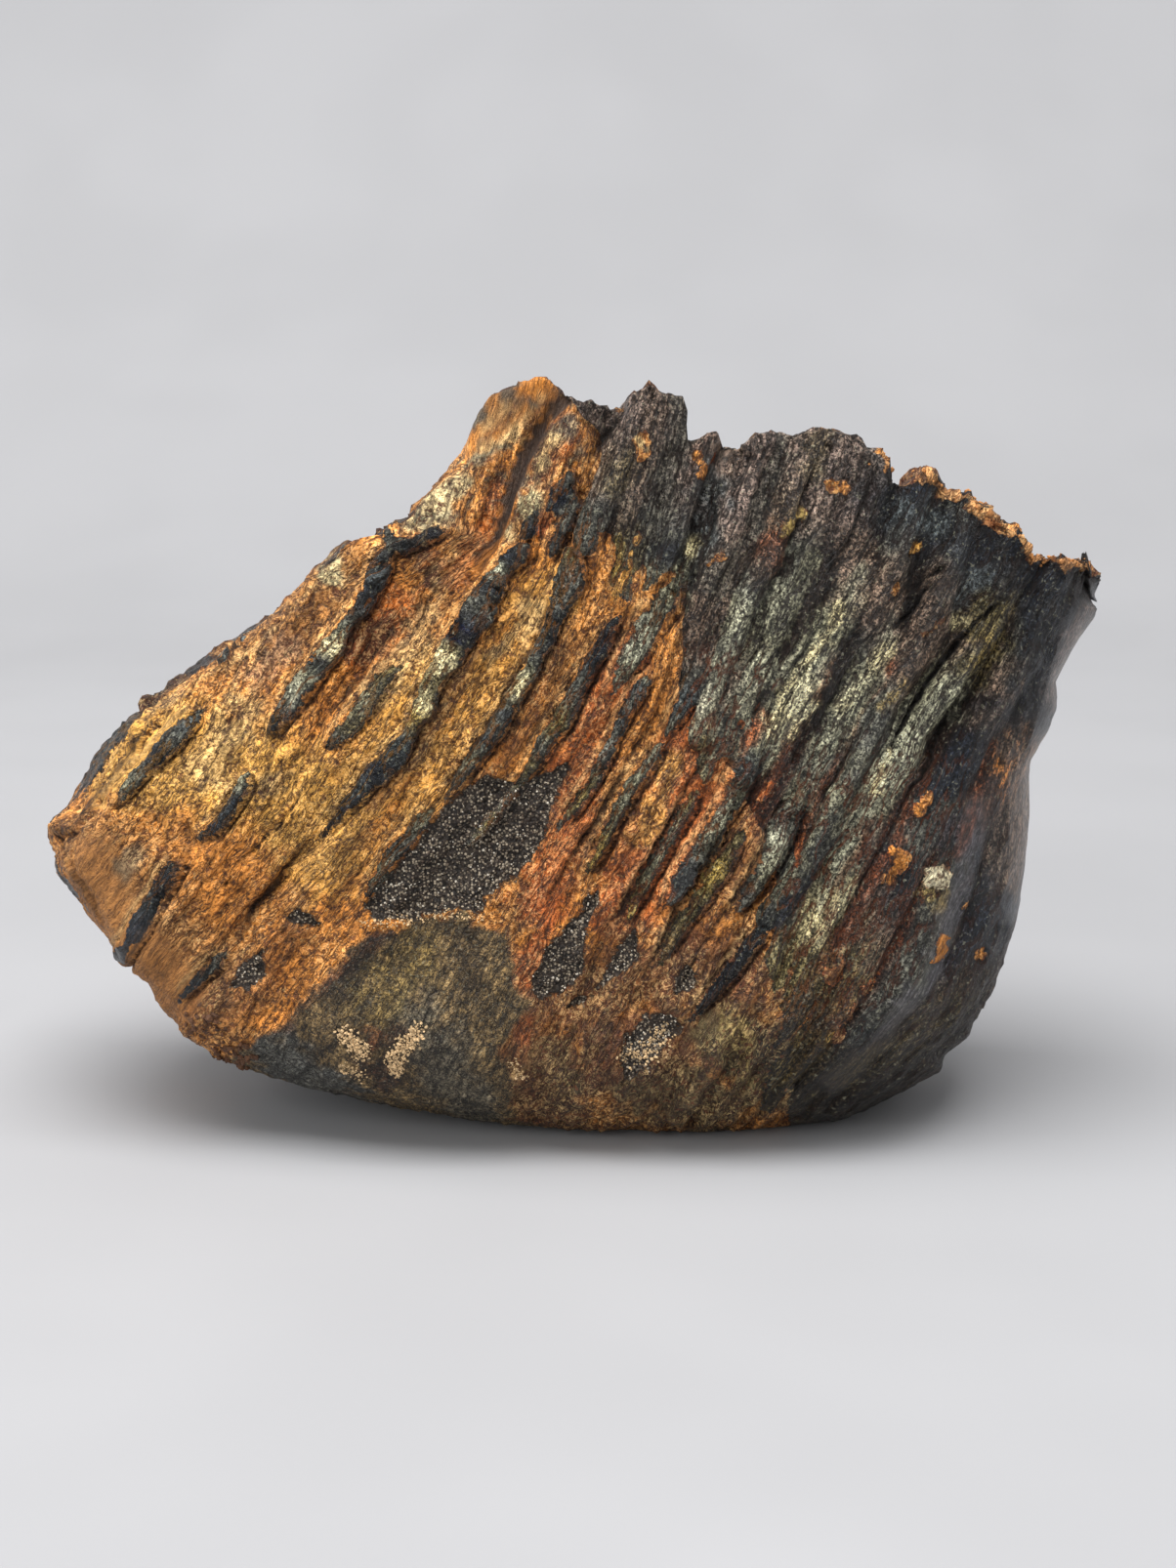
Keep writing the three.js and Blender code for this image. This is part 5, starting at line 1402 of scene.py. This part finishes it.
def scatter(name, points, normals, sizes, tints, flatness, sunk, rough):
    """Small angular stones joined in one mesh, each with its own tint."""
    pile = bmesh.new()
    handful_mesh = bpy.data.meshes.new("handful")
    for start in range(0, len(points), HANDFUL):
        handful = bmesh.new()
        tint_layer = handful.verts.layers.float_color.new("tint")
        for number in range(start, min(start + HANDFUL, len(points))):
            size = sizes[number]
            turn = Matrix.Rotation(chance.uniform(0, 6.3), 3, Vector(chance.normal(size=3)).normalized())
            stone = bmesh.ops.create_icosphere(handful, subdivisions=1, radius=1.0)["verts"]
            stretch = chance.uniform(1 - flatness, 1 + flatness, 3)
            centre = Vector(points[number] + normals[number] * size * (0.5 - sunk))
            for vert in stone:
                spread = chance.uniform(1 - rough, 1 + rough) * size
                shaped = Vector([vert.co[i] * stretch[i] * spread for i in range(3)])
                vert.co = (turn @ shaped + centre) * MM
                vert[tint_layer] = (*tints[number], 1.0)
        bmesh.ops.recalc_face_normals(handful, faces=handful.faces)
        handful.to_mesh(handful_mesh)
        handful.free()
        pile.from_mesh(handful_mesh)
    bpy.data.meshes.remove(handful_mesh)
    return placed(name, as_mesh(pile, name))


mineral_dust = bpy.data.node_groups.new("mineral_dust", "ShaderNodeTree")
for label, kind in (
    ("Place", "Vector"), ("Tint", "Color"),
    ("Fineness", "Float"), ("Darkest", "Float"), ("Lightest", "Float"),
):
    mineral_dust.interface.new_socket(label, in_out="INPUT", socket_type="NodeSocket" + kind)
mineral_dust.interface.new_socket("Colour", in_out="OUTPUT", socket_type="NodeSocketColor")
mineral_dust.interface.new_socket("Height", in_out="OUTPUT", socket_type="NodeSocketFloat")
dust_in = mineral_dust.nodes.new("NodeGroupInput")
dust_out = mineral_dust.nodes.new("NodeGroupOutput")
dust_noise = mineral_dust.nodes.new("ShaderNodeTexNoise")
dust_noise.inputs["Detail"].default_value = 2.0
dust_shade = mineral_dust.nodes.new("ShaderNodeMapRange")
dust_shade.interpolation_type = "SMOOTHSTEP"
dust_shade.inputs["From Min"].default_value = 0.35
dust_shade.inputs["From Max"].default_value = 0.65
dust_colour = mineral_dust.nodes.new("ShaderNodeVectorMath")
dust_colour.operation = "SCALE"
for source, target in (
    (dust_in.outputs["Place"], dust_noise.inputs["Vector"]),
    (dust_in.outputs["Fineness"], dust_noise.inputs["Scale"]),
    (dust_noise.outputs["Fac"], dust_shade.inputs["Value"]),
    (dust_in.outputs["Darkest"], dust_shade.inputs["To Min"]),
    (dust_in.outputs["Lightest"], dust_shade.inputs["To Max"]),
    (dust_in.outputs["Tint"], dust_colour.inputs[0]),
    (dust_shade.outputs["Result"], dust_colour.inputs["Scale"]),
    (dust_colour.outputs[0], dust_out.inputs["Colour"]),
    (dust_noise.outputs["Fac"], dust_out.inputs["Height"]),
):
    mineral_dust.links.new(source, target)


def stone_finish(name, roughness, fineness, darkest, lightest):
    """Mineral grains: their own tint, a little dust, and a slight gloss."""
    stone = Finish(name)
    stone_inputs = {
        "Place": stone.place(), "Tint": stone.kept("tint", "Color"),
        "Fineness": fineness, "Darkest": darkest, "Lightest": lightest,
    }
    dust = stone.node("Group", stone_inputs, node_tree=mineral_dust)
    stone.give(stone.shader.inputs["Base Color"], dust["Colour"])
    stone.shader.inputs["Roughness"].default_value = roughness
    stone.give(stone.shader.inputs["Normal"], stone.bump(dust["Height"], 0.0001, 0.6))
    return stone.material


sand_cover_here = soft_step(sand_depth + blotches * 0.4, 0.1, 0.6)
grain_points, grain_normals = skin_places(sand_cover_here, GRAIN_COUNT)
grain_sizes = chance.uniform(*GRAIN_SIZE, GRAIN_COUNT)
grain_tints = [GRAIN_TINTS[i] for i in chance.choice(4, GRAIN_COUNT, p=GRAIN_SHARES)]
grains = scatter(
    "sand_grains", grain_points, grain_normals, grain_sizes, grain_tints, flatness=0.3, sunk=0.3, rough=0.15
)
keep_in_box(grains.data)
grains.data.materials.append(
    stone_finish("sand_grain", roughness=0.45, fineness=3000.0, darkest=0.65, lightest=1.25)
)
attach(grains, "root")


# Crumbs. Flakes of dentine and pale matrix cling to the tooth: two cream clusters in the
# cement, a thin crust along it, dark chips at the heel and orange ones along the broken
# top. Each is stuck by the dirt it is sunk in.
CREAM_CRUMB = pigment(230, 196, 148)
ORANGE_CRUMB = pigment(190, 128, 70)
DARK_CRUMB = pigment(96, 62, 38)

# Colour, how many, crumb radius from and to, reach, line.
CRUMB_LINES = (
    (CREAM_CRUMB, 260, 0.12, 0.38, 1.4, ((-49.6, -51.2), (-48, -52.6), (-46.6, -54.6))),
    (CREAM_CRUMB, 400, 0.12, 0.38, 1.5, ((-35.4, -50.8), (-37, -53), (-38.6, -55), (-39.4, -58))),
    (CREAM_CRUMB, 90, 0.12, 0.32, 0.9, ((-50, -57.8), (-46.4, -59.6))),
    (CREAM_CRUMB, 160, 0.1, 0.3, 0.7, ((-46, -28.2), (-38, -28.4), (-30, -27.2), (-22, -27))),
    (CREAM_CRUMB, 220, 0.1, 0.34, 2.0, ((8.4, -56), (12, -55), (15, -52))),
    (CREAM_CRUMB, 60, 0.1, 0.3, 0.8, ((-15.6, -57), (-14, -60))),
    (ORANGE_CRUMB, 20, 0.2, 0.6, 1.0, ((58, 67), (61, 65.4))),
    (ORANGE_CRUMB, 60, 0.2, 0.8, 1.0, ((67, 63.6), (72, 61), (77, 58.6), (83, 55))),
    (ORANGE_CRUMB, 60, 0.2, 0.8, 1.0, ((83, 54.6), (88, 50.6), (92, 47), (96, 45.4), (102, 44.4))),
    (DARK_CRUMB, 140, 0.3, 0.9, 2.4, ((-79.4, -48.4), (-75, -52), (-70.4, -55.4))),
)

crumb_points, crumb_normals, crumb_sizes, crumb_tints = [], [], [], []
for colour, how_many, smallest, largest, spread, line in CRUMB_LINES:
    near, away, _ = reach(seen, rounded(line), spread * 2)
    cover = np.zeros(count)
    cover[near] = hump(away, spread) * cheek_side[near] * (away < spread * 1.6)
    points, normals = skin_places(cover, how_many)
    crumb_points.extend(points)
    crumb_normals.extend(normals)
    crumb_sizes.extend(smallest + (largest - smallest) * chance.random(how_many) ** 2)
    crumb_tints.extend(colour * shade for shade in chance.uniform(0.6, 1.15, how_many))
crumbs = scatter(
    "crumbs", crumb_points, crumb_normals, crumb_sizes, crumb_tints, flatness=0.4, sunk=0.35, rough=0.3
)
keep_in_box(crumbs.data)
crumbs.data.materials.append(
    stone_finish("crumb", roughness=0.8, fineness=2400.0, darkest=0.6, lightest=1.15)
)
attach(crumbs, "root")


# The floor. One sheet of pale grey paper lies under the tooth. It is hung up behind it
# in a wide curve, so that no edge shows.
PAPER = pigment(166, 166, 168)
PAPER_SIDE = 2.0
PAPER_FRONT = -1.6
PAPER_RUN = 2.1
PAPER_BEND = 0.5
BEND_STEPS = 24
PAPER_WALL = 1.6
sheet = bmesh.new()
front_corners = [sheet.verts.new((side, PAPER_FRONT, 0.0)) for side in (-PAPER_SIDE, PAPER_SIDE)]
front_edge = sheet.edges.new(front_corners)


def unrolled(edge, way):
    """Draws the sheet on from one of its edges, and returns the new edge."""
    added = bmesh.ops.extrude_edge_only(sheet, edges=[edge])["geom"]
    corners = [g for g in added if isinstance(g, bmesh.types.BMVert)]
    bmesh.ops.translate(sheet, verts=corners, vec=way)
    return [g for g in added if isinstance(g, bmesh.types.BMEdge)]


back_edge = unrolled(front_edge, (0, PAPER_RUN, 0))
bmesh.ops.spin(
    sheet, geom=back_edge, cent=(0, PAPER_FRONT + PAPER_RUN, PAPER_BEND), axis=(1, 0, 0),
    angle=math.radians(90), steps=BEND_STEPS
)
top_edge = max(sheet.edges, key=lambda e: (e.verts[0].co.z + e.verts[1].co.z))
unrolled(top_edge, (0, 0, PAPER_WALL))
bmesh.ops.recalc_face_normals(sheet, faces=sheet.faces)
sheet_mesh = as_mesh(sheet, "paper_floor")
for face in sheet_mesh.polygons:
    face.use_smooth = True
floor = placed("paper_floor", sheet_mesh)
paper = Finish("paper")
paper_tone = paper.ramp(paper.noise(paper.place(), 9.0, 2.0), 0.3, 0.7, 0.97, 1.02)
paper.give(paper.shader.inputs["Base Color"], paper.scaled(PAPER, paper_tone))
paper.shader.inputs["Roughness"].default_value = 0.85
paper.shader.inputs["Specular IOR Level"].default_value = 0.2
sheet_mesh.materials.append(paper.material)


# Studio light. A wide soft panel hangs overhead and in front, a weaker one fills from
# the left, and the room gives the rest.
ROOM_TONE = 0.86
ROOM_STRENGTH = 0.7


def light_panel(name, place, aim, size, power):
    data = bpy.data.lights.new(name, "AREA")
    data.shape = "RECTANGLE"
    data.size, data.size_y = size
    data.energy = power
    panel = placed(name, data)
    panel.location = place
    panel.rotation_euler = (Vector(aim) - Vector(place)).to_track_quat("-Z", "Y").to_euler()


light_panel("overhead_panel", place=(-0.15, -0.4, 1.7), aim=(0.0, 0.0, 0.05), size=(1.6, 1.2), power=46.0)
light_panel("fill_panel", place=(-0.9, -1.4, 0.8), aim=(0.0, 0.0, 0.07), size=(0.9, 0.9), power=9.0)
room = bpy.data.worlds.new("room")
room.use_nodes = True
backdrop = room.node_tree.nodes["Background"]
backdrop.inputs["Color"].default_value = (ROOM_TONE, ROOM_TONE, ROOM_TONE, 1.0)
backdrop.inputs["Strength"].default_value = ROOM_STRENGTH
bpy.context.scene.world = room
bpy.context.scene.view_settings.view_transform = "Standard"
